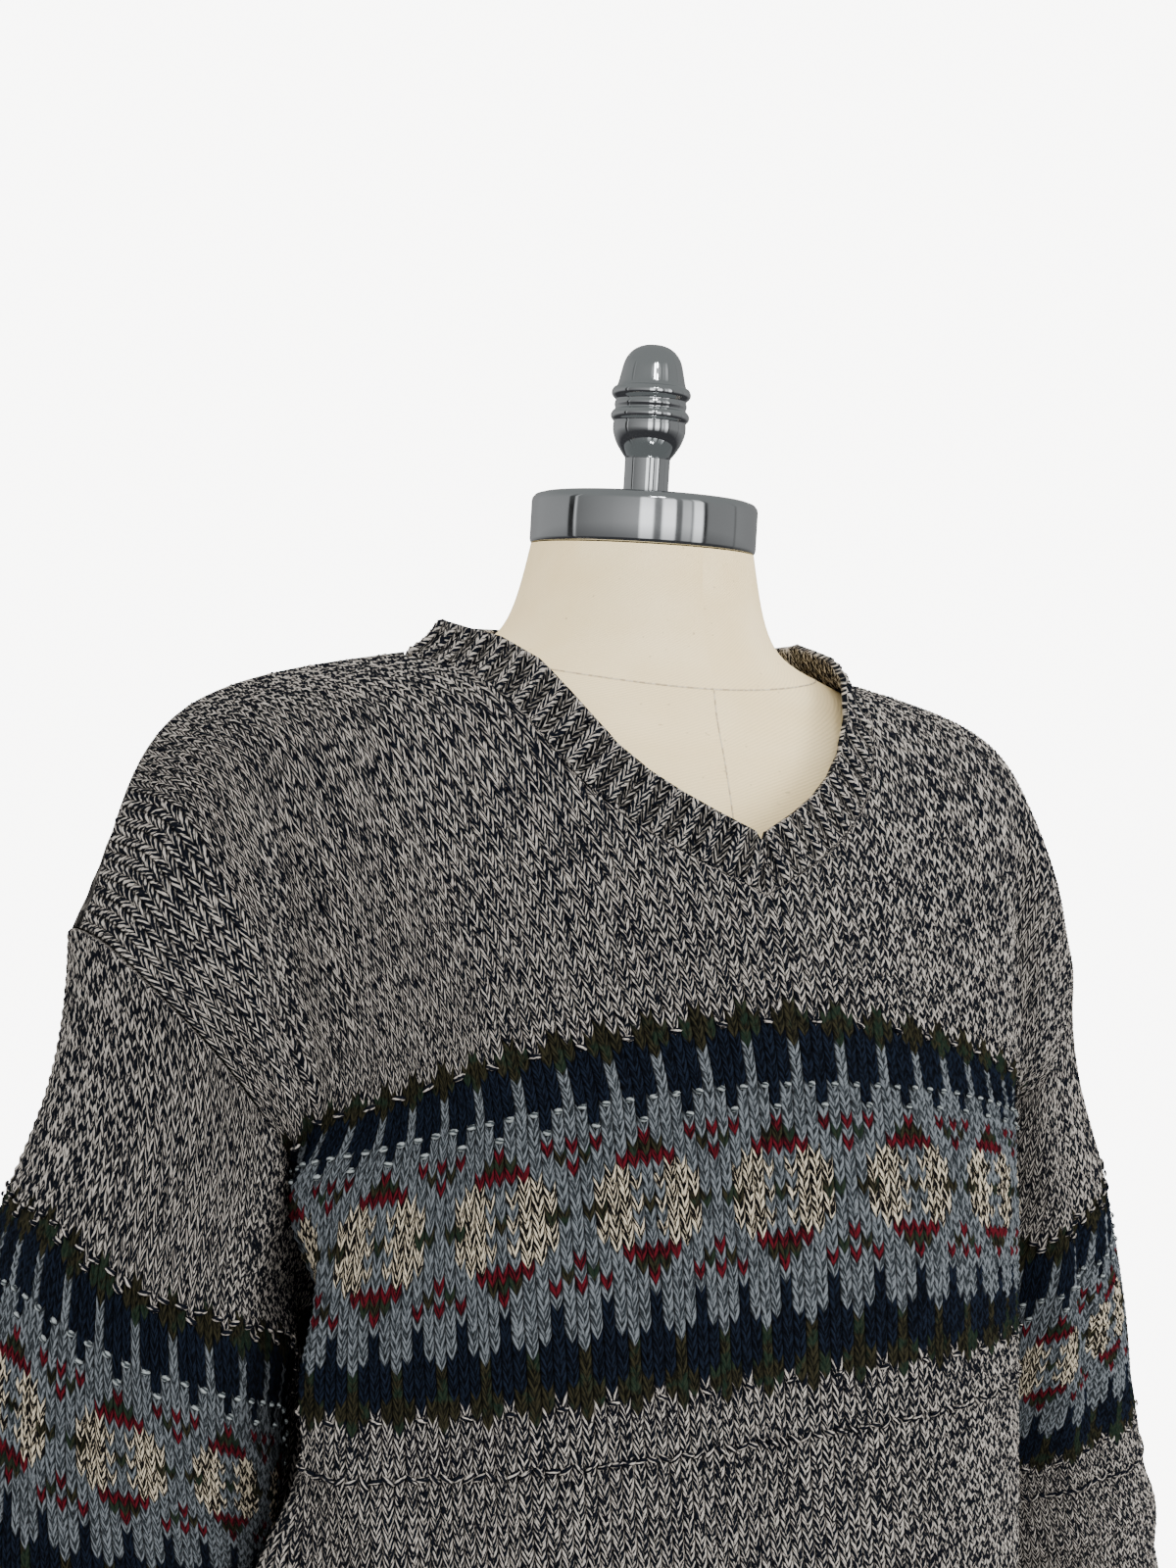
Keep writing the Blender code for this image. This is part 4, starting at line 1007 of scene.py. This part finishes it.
# The form and its stand
def form_piece(material):
    """The padded torso: level sections joined by faces, rounded by subdivision, canvas laid round it."""
    around = 36
    angle = 2 * np.pi * np.arange(around) / around
    c, s = np.cos(angle), np.sin(angle)
    work = bmesh.new()
    creased = work.edges.layers.float.new("crease_edge")
    uv = work.loops.layers.uv.new("cloth")
    loops = []
    for z, half, front, rear, shift, square in TORSO_SECTIONS:
        x = half * np.sign(s) * np.abs(s) ** (2 / square)
        y = shift - np.where(c > 0, front + shift, rear - shift) * np.sign(c) * np.abs(c) ** (2 / square)
        loops.append([work.verts.new(spot) for spot in zip(x, y, np.full(around, z))])
    work.faces.new(loops[0][::-1])
    work.faces.new(loops[-1])
    for i in range(len(loops) - 1):
        for j in range(around):
            k = (j + 1) % around
            face = work.faces.new((loops[i][j], loops[i][k], loops[i + 1][k], loops[i + 1][j]))
            for loop, (m, q) in zip(face.loops, ((i, j), (i, j + 1), (i + 1, j + 1), (i + 1, j))):
                loop[uv].uv = (q / around * CANVAS_TURN, TORSO_SECTIONS[m][0])
    for ring in (loops[0], loops[-1]):
        for j in range(around):
            work.edges.get((ring[j], ring[(j + 1) % around]))[creased] = 1.0
    mesh = bpy.data.meshes.new("form_cover")
    work.to_mesh(mesh)
    work.free()
    thing = new_piece("form_cover", mesh, material)
    bpy.ops.object.select_all(action="DESELECT")
    thing.select_set(True)
    bpy.context.view_layer.objects.active = thing
    rounder = thing.modifiers.new("rounder", "SUBSURF")
    rounder.levels = rounder.render_levels = 2
    bpy.ops.object.modifier_apply(modifier=rounder.name)
    bpy.ops.object.shade_smooth_by_angle(angle=math.radians(40))
    return thing


def seam_thread(form, line, closed, base):
    """A thread let into the form along a line of directions and heights: its points and faces."""
    points = []
    for way, z in line:
        _, spot, normal, _ = form.ray_cast(Vector((0.0, 0.0, z)) + way * OUTSIDE_FORM, -way)
        points.append((np.array(spot), np.array(normal)))
    n = len(points)
    verts, faces = [], []
    for i, (spot, normal) in enumerate(points):
        ahead = points[(i + 1) % n][0] if closed or i < n - 1 else spot
        behind = points[i - 1][0] if closed or i > 0 else spot
        along = ahead - behind
        along /= np.linalg.norm(along)
        side = np.cross(normal, along)
        for q in range(6):
            a = 2 * math.pi * q / 6
            verts.append(spot + SEAM_LINE * (side * math.cos(a) * 1.3 + normal * (math.sin(a) - 0.35)))
    for i in range(n if closed else n - 1):
        here, after = base + i * 6, base + (i + 1) % n * 6
        faces += [(here + q, here + (q + 1) % 6, after + (q + 1) % 6, after + q) for q in range(6)]
    if not closed:
        faces.append(tuple(base + q for q in range(6)))
        faces.append(tuple(base + (n - 1) * 6 + 5 - q for q in range(6)))
    return verts, faces


def form_seams(form, material):
    """The seam round the foot of the neck and those down the middle, front and back."""
    ring = []
    for q in np.linspace(0.0, 2 * np.pi, 161)[:-1]:
        z = NECK_SEAM_FRONT_Z + (NECK_SEAM_BACK_Z - NECK_SEAM_FRONT_Z) * (1 - math.cos(q)) / 2
        ring.append((Vector((math.sin(q), -math.cos(q), 0.0)), z))
    lines = [(ring, True)]
    for way, top in ((-1.0, NECK_SEAM_FRONT_Z), (1.0, NECK_SEAM_BACK_Z)):
        lines.append(([(Vector((0.0, way, 0.0)), z) for z in np.linspace(top, FORM_SEAM_LOW_Z, 90)], False))
    verts, faces = [], []
    for line, closed in lines:
        more_verts, more_faces = seam_thread(form, line, closed, len(verts))
        verts += more_verts
        faces += more_faces
    mesh = bpy.data.meshes.new("form_seams")
    mesh.from_pydata(verts, [], faces)
    return new_piece("form_seams", mesh, material)


def turned(name, profile, foot, segments, material, edge):
    """A piece turned on a lathe: a disc, drawn out ring by ring along its profile, its edges broken."""
    bpy.ops.object.select_all(action="DESELECT")
    points = [p for p in profile[::-1] if p[0] > 0]
    radius, height = points[0]
    bpy.ops.mesh.primitive_circle_add(vertices=segments, radius=radius, fill_type="NGON",
                                      location=(0, 0, foot + height))
    thing = bpy.context.object
    thing.name = name
    bpy.ops.object.transform_apply(location=True)
    bpy.ops.object.mode_set(mode="EDIT")
    bpy.ops.mesh.select_mode(type="FACE")
    bpy.ops.mesh.select_all(action="SELECT")
    for r, z in points[1:]:
        bpy.ops.mesh.extrude_region_move(TRANSFORM_OT_translate={"value": (0, 0, z - height)})
        bpy.ops.transform.resize(value=(r / radius, r / radius, 1), center_override=(0, 0, foot + z))
        radius, height = r, z
    bpy.ops.mesh.select_all(action="SELECT")
    bpy.ops.mesh.normals_make_consistent(inside=False)
    bpy.ops.object.mode_set(mode="OBJECT")
    if edge:
        bevel = thing.modifiers.new("broken_edges", "BEVEL")
        bevel.width = edge
        bevel.segments = 3
        bevel.limit_method = "ANGLE"
        bevel.angle_limit = math.radians(28)
        bpy.ops.object.modifier_apply(modifier=bevel.name)
    bpy.ops.object.shade_smooth_by_angle(angle=math.radians(35))
    thing.data.materials.append(material)
    return thing


def rounded(profile, per_step=4):
    """A turned profile with its curve carried smoothly through the points."""
    p = np.array(profile, float)
    out = []
    for i in range(len(p) - 1):
        a, b, c, d = p[max(i - 1, 0)], p[i], p[i + 1], p[min(i + 2, len(p) - 1)]
        m0, m1 = (c - a) / 2, (d - b) / 2
        for t in np.arange(per_step) / per_step:
            out.append(b * (2 * t ** 3 - 3 * t ** 2 + 1) + m0 * (t ** 3 - 2 * t ** 2 + t)
                       + c * (3 * t ** 2 - 2 * t ** 3) + m1 * (t ** 3 - t ** 2))
    out.append(p[-1])
    return [(max(0.0, float(r)), float(z)) for r, z in out]


# Materials
def colour(code):
    """An sRGB hex value as a linear colour."""
    parts = [int(code[i:i + 2], 16) / 255 for i in (1, 3, 5)]
    return tuple(c / 12.92 if c <= 0.04045 else ((c + 0.055) / 1.055) ** 2.4 for c in parts) + (1.0,)


def add(tree, kind, links=None, **settings):
    """A node with its settings; links gives an input a value or another node's output."""
    node = tree.nodes.new("ShaderNode" + kind)
    for key, value in settings.items():
        setattr(node, key, value)
    for key, value in (links or {}).items():
        if isinstance(value, bpy.types.NodeSocket):
            tree.links.new(value, node.inputs[key])
        else:
            node.inputs[key].default_value = value
    return node


def ramp(node, stops, mode="LINEAR"):
    """Sets a colour ramp's stops: places and colours."""
    stripe = node.color_ramp
    stripe.interpolation = mode
    while len(stripe.elements) > 1:
        stripe.elements.remove(stripe.elements[0])
    stripe.elements[0].position, stripe.elements[0].color = stops[0]
    for place_at, shade in stops[1:]:
        stripe.elements.new(place_at).color = shade
    return node


def new_material(name, **sockets):
    material = bpy.data.materials.new(name)
    material.use_nodes = True
    shader = material.node_tree.nodes["Principled BSDF"]
    for key, value in sockets.items():
        shader.inputs[key.replace("_", " ")].default_value = value
    return material, material.node_tree, shader


# Each yarn: its two plies, the share of the first, how sharply they part and how much green runs in it
YARN_LOOKS = (
    ("#070A11", "#99938B", 0.615, 0.18, 0.0),
    ("#0A0B07", "#242216", 0.50, 0.40, 0.6),
    ("#03050A", "#0E1521", 0.52, 0.40, 0.0),
    ("#202427", "#5C6165", 0.51, 0.30, 0.0),
    ("#140306", "#480C15", 0.48, 0.40, 0.0),
    ("#0B0A0A", "#B0A58F", 0.565, 0.16, 0.0),
    ("#2C3133", "#7C8282", 0.45, 0.30, 0.0),
)
# Sizes of the patterns, in millimetres
STREAK_ACROSS_MM = 0.85
STREAK_ALONG_MM = 3.4
FIBRE_MM = 0.28
PLY_PAIR_MM = 2.1
TWIST_MM = 9.0
GREEN_LENGTH_MM = 10.53
TWILL_MM = 1.2
THREAD_MM = 1.111
SLUB_MM = 3.03
STAIN_MM = 45.45
SEAM_STITCH_MM = 2.381
WIPE_MM = 16.67
PEEL_MM = 2.857
WEAR_MM = 55.56
MOTTLE_MM = 667.0
# How much the plies' mix changes from one leg to the next, and across the pair of plies
LOT_WEIGHT = 0.14
PAIR_WEIGHT = 0.20


def yarn_habits(tree, yarn):
    """The two ply colours of each face's yarn, and its share, softness and green, looked up by its number."""
    count = len(YARN_LOOKS)
    index = add(tree, "Math", {0: yarn, 1: count}, operation="DIVIDE").outputs[0]
    index = add(tree, "Math", {0: index, 1: 0.5 / count}, operation="ADD").outputs[0]
    found = []
    for values in ([colour(look[0]) for look in YARN_LOOKS], [colour(look[1]) for look in YARN_LOOKS],
                   [look[2:] + (1.0,) for look in YARN_LOOKS]):
        stops = [(i / count, value) for i, value in enumerate(values)]
        found.append(ramp(add(tree, "ValToRGB", {0: index}), stops, "CONSTANT").outputs[0])
    habits = add(tree, "SeparateColor", {0: found[2]})
    return found[0], found[1], list(habits.outputs)


def ply_shown(tree, leg, lot, share, soft):
    """Which of a yarn's two plies shows at a place: 0 the dark one, 1 the light one."""
    # streaks: long along the leg, narrow across it, turned a little because the plies twist
    along = add(tree, "Mapping", {0: leg, "Rotation": (0, 0, math.radians(14)),
                                  "Scale": (1 / STREAK_ALONG_MM, 1 / STREAK_ACROSS_MM, 1)})
    streak = add(tree, "TexNoise", {"Vector": along.outputs[0], "Scale": 1.0, "Detail": 2.0,
                                    "Roughness": 0.55}, noise_dimensions="2D").outputs["Fac"]
    # the two plies lie side by side along a leg, one light and one dark, and change sides slowly
    parts = add(tree, "SeparateXYZ", {0: leg})
    turn = add(tree, "Math", {0: parts.outputs[0], 1: 2 * math.pi / TWIST_MM}, operation="MULTIPLY")
    turn = add(tree, "Math", {0: parts.outputs[1], 1: 2 * math.pi / PLY_PAIR_MM, 2: turn.outputs[0]},
               operation="MULTIPLY_ADD")
    pair = add(tree, "Math", {0: turn.outputs[0]}, operation="SINE").outputs[0]
    lean = add(tree, "Math", {0: lot, 1: -0.5}, operation="ADD").outputs[0]
    for part, weight in ((lean, LOT_WEIGHT), (pair, PAIR_WEIGHT)):
        streak = add(tree, "Math", {0: part, 1: weight, 2: streak}, operation="MULTIPLY_ADD").outputs[0]
    low, high = (add(tree, "Math", {0: soft, 1: half, 2: share}, operation="MULTIPLY_ADD").outputs[0]
                 for half in (-0.5, 0.5))
    return add(tree, "MapRange", {"Value": streak, "From Min": low, "From Max": high},
               interpolation_type="SMOOTHSTEP").outputs[0]


def knit_material():
    # Marled wool and cotton, plied and knitted: dull, fibrous, each leg of a stitch streaked along its yarn,
    # with painted shade between the stitches
    material, tree, shader = new_material("marled_wool_cotton_yarn", Roughness=0.95, Specular_IOR_Level=0.10)
    leg = add(tree, "UVMap", uv_map="leg").outputs["UV"]
    yarn, lot, rise = (add(tree, "Attribute", attribute_name=name).outputs["Fac"]
                       for name in ("yarn", "lot", "rise"))
    place_in = add(tree, "TexCoord").outputs["Object"]
    dark, light, (share, soft, green) = yarn_habits(tree, yarn)
    ply = ply_shown(tree, leg, lot, share, soft)
    cloth = add(tree, "Mix", {"Factor": ply, "A": dark, "B": light}, data_type="RGBA").outputs["Result"]
    # the olive yarn goes greener and browner in lengths of a few stitches
    patches = add(tree, "TexNoise", {"Vector": place_in, "Scale": 1000 / GREEN_LENGTH_MM,
                                     "Detail": 2.0}).outputs["Fac"]
    patches = add(tree, "MapRange", {"Value": patches, "From Min": 0.50, "From Max": 0.60}).outputs[0]
    patches = add(tree, "Math", {0: patches, 1: green}, operation="MULTIPLY").outputs[0]
    cloth = add(tree, "Mix", {"Factor": patches, "A": cloth, "B": colour("#13241B")},
                data_type="RGBA").outputs["Result"]
    # fibres, and painted shade: darker in the creases between the stitches and a little lighter on the ridges,
    # by each point's depth
    hair = add(tree, "Mapping", {0: leg, "Scale": (0.35 / FIBRE_MM, 1 / FIBRE_MM, 1)})
    fibre = add(tree, "TexNoise", {"Vector": hair.outputs[0], "Scale": 1.0, "Detail": 3.0},
                noise_dimensions="2D").outputs["Fac"]
    bright = add(tree, "MapRange", {"Value": fibre, "From Min": 0.3, "From Max": 0.7, "To Min": 0.80,
                                    "To Max": 1.16}).outputs[0]
    gap = add(tree, "MapRange", {"Value": rise, "From Min": 0.0, "From Max": 0.50, "To Min": 0.16,
                                 "To Max": 1.1}, interpolation_type="SMOOTHSTEP").outputs[0]
    bright = add(tree, "Math", {0: bright, 1: gap}, operation="MULTIPLY").outputs[0]
    cloth = add(tree, "VectorMath", {0: cloth, "Scale": bright}, operation="SCALE").outputs[0]
    tree.links.new(cloth, shader.inputs["Base Color"])
    bump = add(tree, "Bump", {"Height": fibre, "Strength": 0.55, "Distance": 0.0004})
    tree.links.new(bump.outputs[0], shader.inputs["Normal"])
    return material


def canvas_material():
    # Unbleached cotton canvas over padding: matt, creamy, a fine twill, coarser than real so that it shows
    material, tree, shader = new_material("unbleached_cotton_canvas", Roughness=0.9, Specular_IOR_Level=0.2)
    cloth_uv = add(tree, "UVMap", uv_map="cloth").outputs["UV"]
    slanted = add(tree, "Mapping", {0: cloth_uv, "Rotation": (0, 0, math.radians(57))}).outputs[0]
    # a wave of scale 1 has bands 2 pi / 20 of a metre apart
    twill = add(tree, "TexWave", {"Vector": slanted, "Scale": 2 * math.pi * 1000 / TWILL_MM / 20,
                                  "Distortion": 0.6, "Detail": 1.0, "Detail Scale": 3.0},
                wave_type="BANDS", bands_direction="X").outputs["Fac"]
    thread, stain, fleck = (
        add(tree, "TexNoise", {"Vector": cloth_uv, "Scale": 1000 / size, "Detail": detail}).outputs["Fac"]
        for size, detail in ((THREAD_MM, 2.0), (STAIN_MM, 4.0), (SLUB_MM, 1.0)))
    base = ramp(add(tree, "ValToRGB", {0: stain}),
                [(0.30, colour("#E8D09C")), (0.70, colour("#F2DEAF"))]).outputs[0]
    fleck = add(tree, "MapRange", {"Value": fleck, "From Min": 0.735, "From Max": 0.77, "To Max": 0.5})
    base = add(tree, "Mix", {"Factor": fleck.outputs[0], "A": base, "B": colour("#9C8B6E")},
               data_type="RGBA").outputs["Result"]
    height = add(tree, "Mix", {"Factor": 0.45, "A": twill, "B": thread}, data_type="FLOAT").outputs[0]
    weave = add(tree, "MapRange", {"Value": height, "From Min": 0.2, "From Max": 0.8, "To Min": 0.93,
                                   "To Max": 1.03}).outputs[0]
    base = add(tree, "VectorMath", {0: base, "Scale": weave}, operation="SCALE").outputs[0]
    tree.links.new(base, shader.inputs["Base Color"])
    bump = add(tree, "Bump", {"Height": height, "Strength": 0.5, "Distance": 0.00025})
    tree.links.new(bump.outputs[0], shader.inputs["Normal"])
    return material


def seam_material():
    # Cotton thread let into the seam: a shade darker than the canvas
    material, tree, shader = new_material("cotton_seam_thread", Roughness=0.9)
    place_in = add(tree, "TexCoord").outputs["Object"]
    stitch = add(tree, "TexNoise", {"Vector": place_in, "Scale": 1000 / SEAM_STITCH_MM, "Detail": 1.0})
    base = ramp(add(tree, "ValToRGB", {0: stitch.outputs["Fac"]}),
                [(0.40, colour("#A8977A")), (0.60, colour("#CDBFA3"))]).outputs[0]
    tree.links.new(base, shader.inputs["Base Color"])
    return material


def chrome_material():
    # Chromium plate over polished steel: a near mirror, with faint wipe marks in its gloss
    material, tree, shader = new_material("polished_chromium_plate", Metallic=1.0, Base_Color=colour("#C9CCCD"))
    place_in = add(tree, "TexCoord").outputs["Object"]
    wipe = add(tree, "TexNoise", {"Vector": place_in, "Scale": 1000 / WIPE_MM, "Detail": 5.0})
    rough = add(tree, "MapRange", {"Value": wipe.outputs["Fac"], "From Min": 0.35, "From Max": 0.75,
                                   "To Min": 0.035, "To Max": 0.10}).outputs[0]
    tree.links.new(rough, shader.inputs["Roughness"])
    return material


def enamel_material():
    # Stove enamel on a cast base: dark, half gloss, slightly orange-peeled
    material, tree, shader = new_material("black_stove_enamel", Base_Color=colour("#26262A"),
                                          Coat_Weight=0.3, Coat_Roughness=0.2)
    place_in = add(tree, "TexCoord").outputs["Object"]
    peel, wear = (
        add(tree, "TexNoise", {"Vector": place_in, "Scale": 1000 / size, "Detail": detail}).outputs["Fac"]
        for size, detail in ((PEEL_MM, 2.0), (WEAR_MM, 4.0)))
    bump = add(tree, "Bump", {"Height": peel, "Strength": 0.15, "Distance": 0.0003})
    tree.links.new(bump.outputs[0], shader.inputs["Normal"])
    rough = add(tree, "MapRange", {"Value": wear, "To Min": 0.28, "To Max": 0.46}).outputs[0]
    tree.links.new(rough, shader.inputs["Roughness"])
    return material


# The studio
PALE = "#F6F5F3"
FLOOR_RADIUS = 2.2
CAMERA_AZIMUTH = math.radians(-30.0)
CAMERA_ELEVATION = math.radians(2.8279)
CAMERA_ROLL = math.radians(3.3131)
CAMERA_DISTANCE = 1.1304
CAMERA_TARGET = Vector((-0.0183, 0.0106, 1.3995))
SENSOR_HEIGHT_MM = 24.0
LENS_MM = 33.0


def set_camera():
    a, e, r = CAMERA_AZIMUTH, CAMERA_ELEVATION, CAMERA_ROLL
    back = Vector((math.sin(a) * math.cos(e), -math.cos(a) * math.cos(e), math.sin(e)))
    right = Vector((math.cos(a), math.sin(a), 0.0))
    up = back.cross(right)
    right, up = right * math.cos(r) + up * math.sin(r), up * math.cos(r) - right * math.sin(r)
    data = bpy.data.cameras.new("photo_camera")
    data.sensor_fit = "VERTICAL"
    data.sensor_height = SENSOR_HEIGHT_MM
    data.lens = LENS_MM
    data.clip_start = 0.02
    camera = bpy.data.objects.new("photo_camera", data)
    turn = Matrix((right, up, back)).transposed().to_4x4()
    camera.matrix_world = Matrix.Translation(CAMERA_TARGET + back * CAMERA_DISTANCE) @ turn
    bpy.context.scene.collection.objects.link(camera)
    bpy.context.scene.camera = camera


# Soft boxes and, for the chrome alone to mirror, two lamps: place, aim, size, watts
SOFT_BOXES = {"key_softbox": ((-1.8, -2.2, 3.4), (0, 0, 1.25), (2.4, 2.4), 112.0),
              "fill_softbox": ((2.6, -1.8, 2.2), (0, 0, 1.2), (2.0, 2.0), 105.0),
              "back_softbox": ((0.5, 2.8, 3.0), (0, 0, 1.2), (2.4, 1.6), 80.0)}
LAMPS = {"left_lamp": ((-0.62, -1.58, 2.75), (0, 0, 1.6), (0.16, 0.20), 2.0),
         "right_lamp": ((-0.34, -1.58, 2.75), (0, 0, 1.6), (0.16, 0.20), 2.0)}


def set_lights():
    for name, (spot, aim, size, power) in {**SOFT_BOXES, **LAMPS}.items():
        data = bpy.data.lights.new(name, "AREA")
        data.shape = "RECTANGLE"
        data.size, data.size_y = size
        data.energy = power
        light = bpy.data.objects.new(name, data)
        light.location = spot
        light.visible_glossy = name in LAMPS
        light.rotation_euler = (Vector(aim) - Vector(spot)).to_track_quat("-Z", "Y").to_euler()
        bpy.context.scene.collection.objects.link(light)


# What the chrome sees round the room at eye level: share of the way round, and how bright
ROOM = ((0.000, 2.3), (0.034, 2.3), (0.038, 0.30), (0.058, 0.30), (0.062, 2.4), (0.096, 2.4), (0.100, 0.50),
        (0.180, 0.34), (0.284, 0.20), (0.290, 0.90), (0.296, 0.03), (0.312, 0.03), (0.317, 0.34), (0.450, 0.36),
        (0.583, 0.22), (0.700, 0.26), (0.788, 0.30), (0.795, 0.14), (0.800, 0.28), (0.898, 0.26), (0.905, 0.04),
        (0.913, 0.04), (0.917, 1.9), (0.943, 1.9), (0.947, 0.06), (0.954, 0.90), (0.977, 0.80), (0.981, 0.18),
        (0.996, 0.22), (1.000, 2.3))
# and over and under that: where each starts and ends, as a height on a ball round the eye, and its colour
CEILING = (0.12, 0.6, (0.26, 0.27, 0.27, 1.0))
GROUND = (-0.04, -0.35, (0.05, 0.05, 0.055, 1.0))


def set_room():
    world = bpy.data.worlds.new("studio")
    bpy.context.scene.world = world
    world.use_nodes = True
    tree = world.node_tree
    tree.nodes.clear()
    way = add(tree, "TexCoord").outputs["Generated"]
    parts = add(tree, "SeparateXYZ", {0: way})
    turn = add(tree, "Math", {0: parts.outputs[0], 1: parts.outputs[1]}, operation="ARCTAN2").outputs[0]
    turn = add(tree, "MapRange", {"Value": turn, "From Min": -math.pi, "From Max": math.pi}).outputs[0]
    stripes = [(share, (bright, bright, bright * 1.01, 1.0)) for share, bright in ROOM]
    room = ramp(add(tree, "ValToRGB", {0: turn}), stripes).outputs[0]
    for start, end, shade in (CEILING, GROUND):
        part = add(tree, "MapRange", {"Value": parts.outputs[2], "From Min": start, "From Max": end})
        room = add(tree, "Mix", {"Factor": part.outputs[0], "A": room, "B": shade},
                   data_type="RGBA").outputs["Result"]
    seen, mirrored, even = (
        add(tree, "Background", {"Color": shade, "Strength": strength}).outputs[0]
        for shade, strength in ((colour(PALE), 9.0), (room, 1.2), ((0.8, 0.8, 0.81, 1.0), 1.7)))
    ray = add(tree, "LightPath")
    light = add(tree, "MixShader", {0: ray.outputs["Is Glossy Ray"], 1: even, 2: mirrored}).outputs[0]
    light = add(tree, "MixShader", {0: ray.outputs["Is Camera Ray"], 1: light, 2: seen}).outputs[0]
    add(tree, "OutputWorld", {"Surface": light})


def set_floor():
    # Painted studio floor: pale, matt, faintly mottled
    material, tree, shader = new_material("matt_floor_paint", Roughness=0.95)
    place_in = add(tree, "TexCoord").outputs["Object"]
    cloud = add(tree, "TexNoise", {"Vector": place_in, "Scale": 1000 / MOTTLE_MM, "Detail": 3.0})
    base = ramp(add(tree, "ValToRGB", {0: cloud.outputs["Fac"]}),
                [(0.3, colour("#EDECEA")), (0.7, colour("#F1F0EE"))]).outputs[0]
    tree.links.new(base, shader.inputs["Base Color"])
    # it fades out towards its rim, so that no edge of it shows
    far = add(tree, "VectorMath", {0: place_in}, operation="LENGTH").outputs["Value"]
    fade = add(tree, "MapRange", {"Value": far, "From Min": 0.9, "From Max": FLOOR_RADIUS - 0.05},
               interpolation_type="SMOOTHSTEP").outputs[0]
    clear = add(tree, "BsdfTransparent").outputs[0]
    both = add(tree, "MixShader", {0: fade, 1: shader.outputs[0], 2: clear}).outputs[0]
    tree.links.new(both, tree.nodes["Material Output"].inputs["Surface"])
    bpy.ops.object.select_all(action="DESELECT")
    bpy.ops.mesh.primitive_circle_add(vertices=96, radius=FLOOR_RADIUS, fill_type="NGON", location=(0, 0, 0))
    floor = bpy.context.object
    floor.name = "studio_floor"
    floor.data.materials.append(material)
    floor.visible_glossy = False


def keep(piece, node):
    """A finished piece takes a CAD node's place."""
    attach(piece, "root")
    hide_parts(node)
    return piece


def set_sweater():
    knitted = knit_material()
    for side_name, back in (("front", False), ("back", True)):
        lower, upper = (keep(piece, side_name + "_panel") for piece in panel_pieces(side_name, back, knitted))
    for side_name, side in (("right", -1), ("left", 1)):
        sleeve, cuff = "sleeve_" + side_name, "cuff_" + side_name
        piece = keep(sleeve_piece(sleeve + "_knit", side, knitted), sleeve)
        piece = keep(cuff_piece(cuff + "_knit", side, knitted), cuff)
    piece = keep(hem_piece(knitted), "hem_rib")
    piece = keep(neckband_piece(knitted), "neckband")


def set_stand():
    cover = keep(form_piece(canvas_material()), "form_torso")
    seams = form_seams(cover, seam_material())
    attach(seams, "root")
    chrome = chrome_material()
    pole_low, pole_high = (corner[2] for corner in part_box("pole"))
    pole = ((0.0, pole_high - pole_low), (POLE_RADIUS, pole_high - pole_low), (POLE_RADIUS, 0.0), (0.0, 0.0))
    finial = rounded(FINIAL_PROFILE[:-2]) + list(FINIAL_PROFILE[-2:])
    for node, profile, segments, material, edge in (
            ("neck_cap", CAP_PROFILE, 128, chrome, BROKEN_EDGE), ("finial", finial, 96, chrome, 0.0),
            ("collar", COLLAR_PROFILE, 96, chrome, BROKEN_EDGE), ("pole", pole, 64, chrome, BROKEN_EDGE),
            ("base", BASE_PROFILE, 128, enamel_material(), BROKEN_EDGE)):
        keep(turned(node + "_turned", profile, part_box(node)[0][2], segments, material, edge), node)


set_camera()
set_room()
set_lights()
set_floor()
set_sweater()
set_stand()
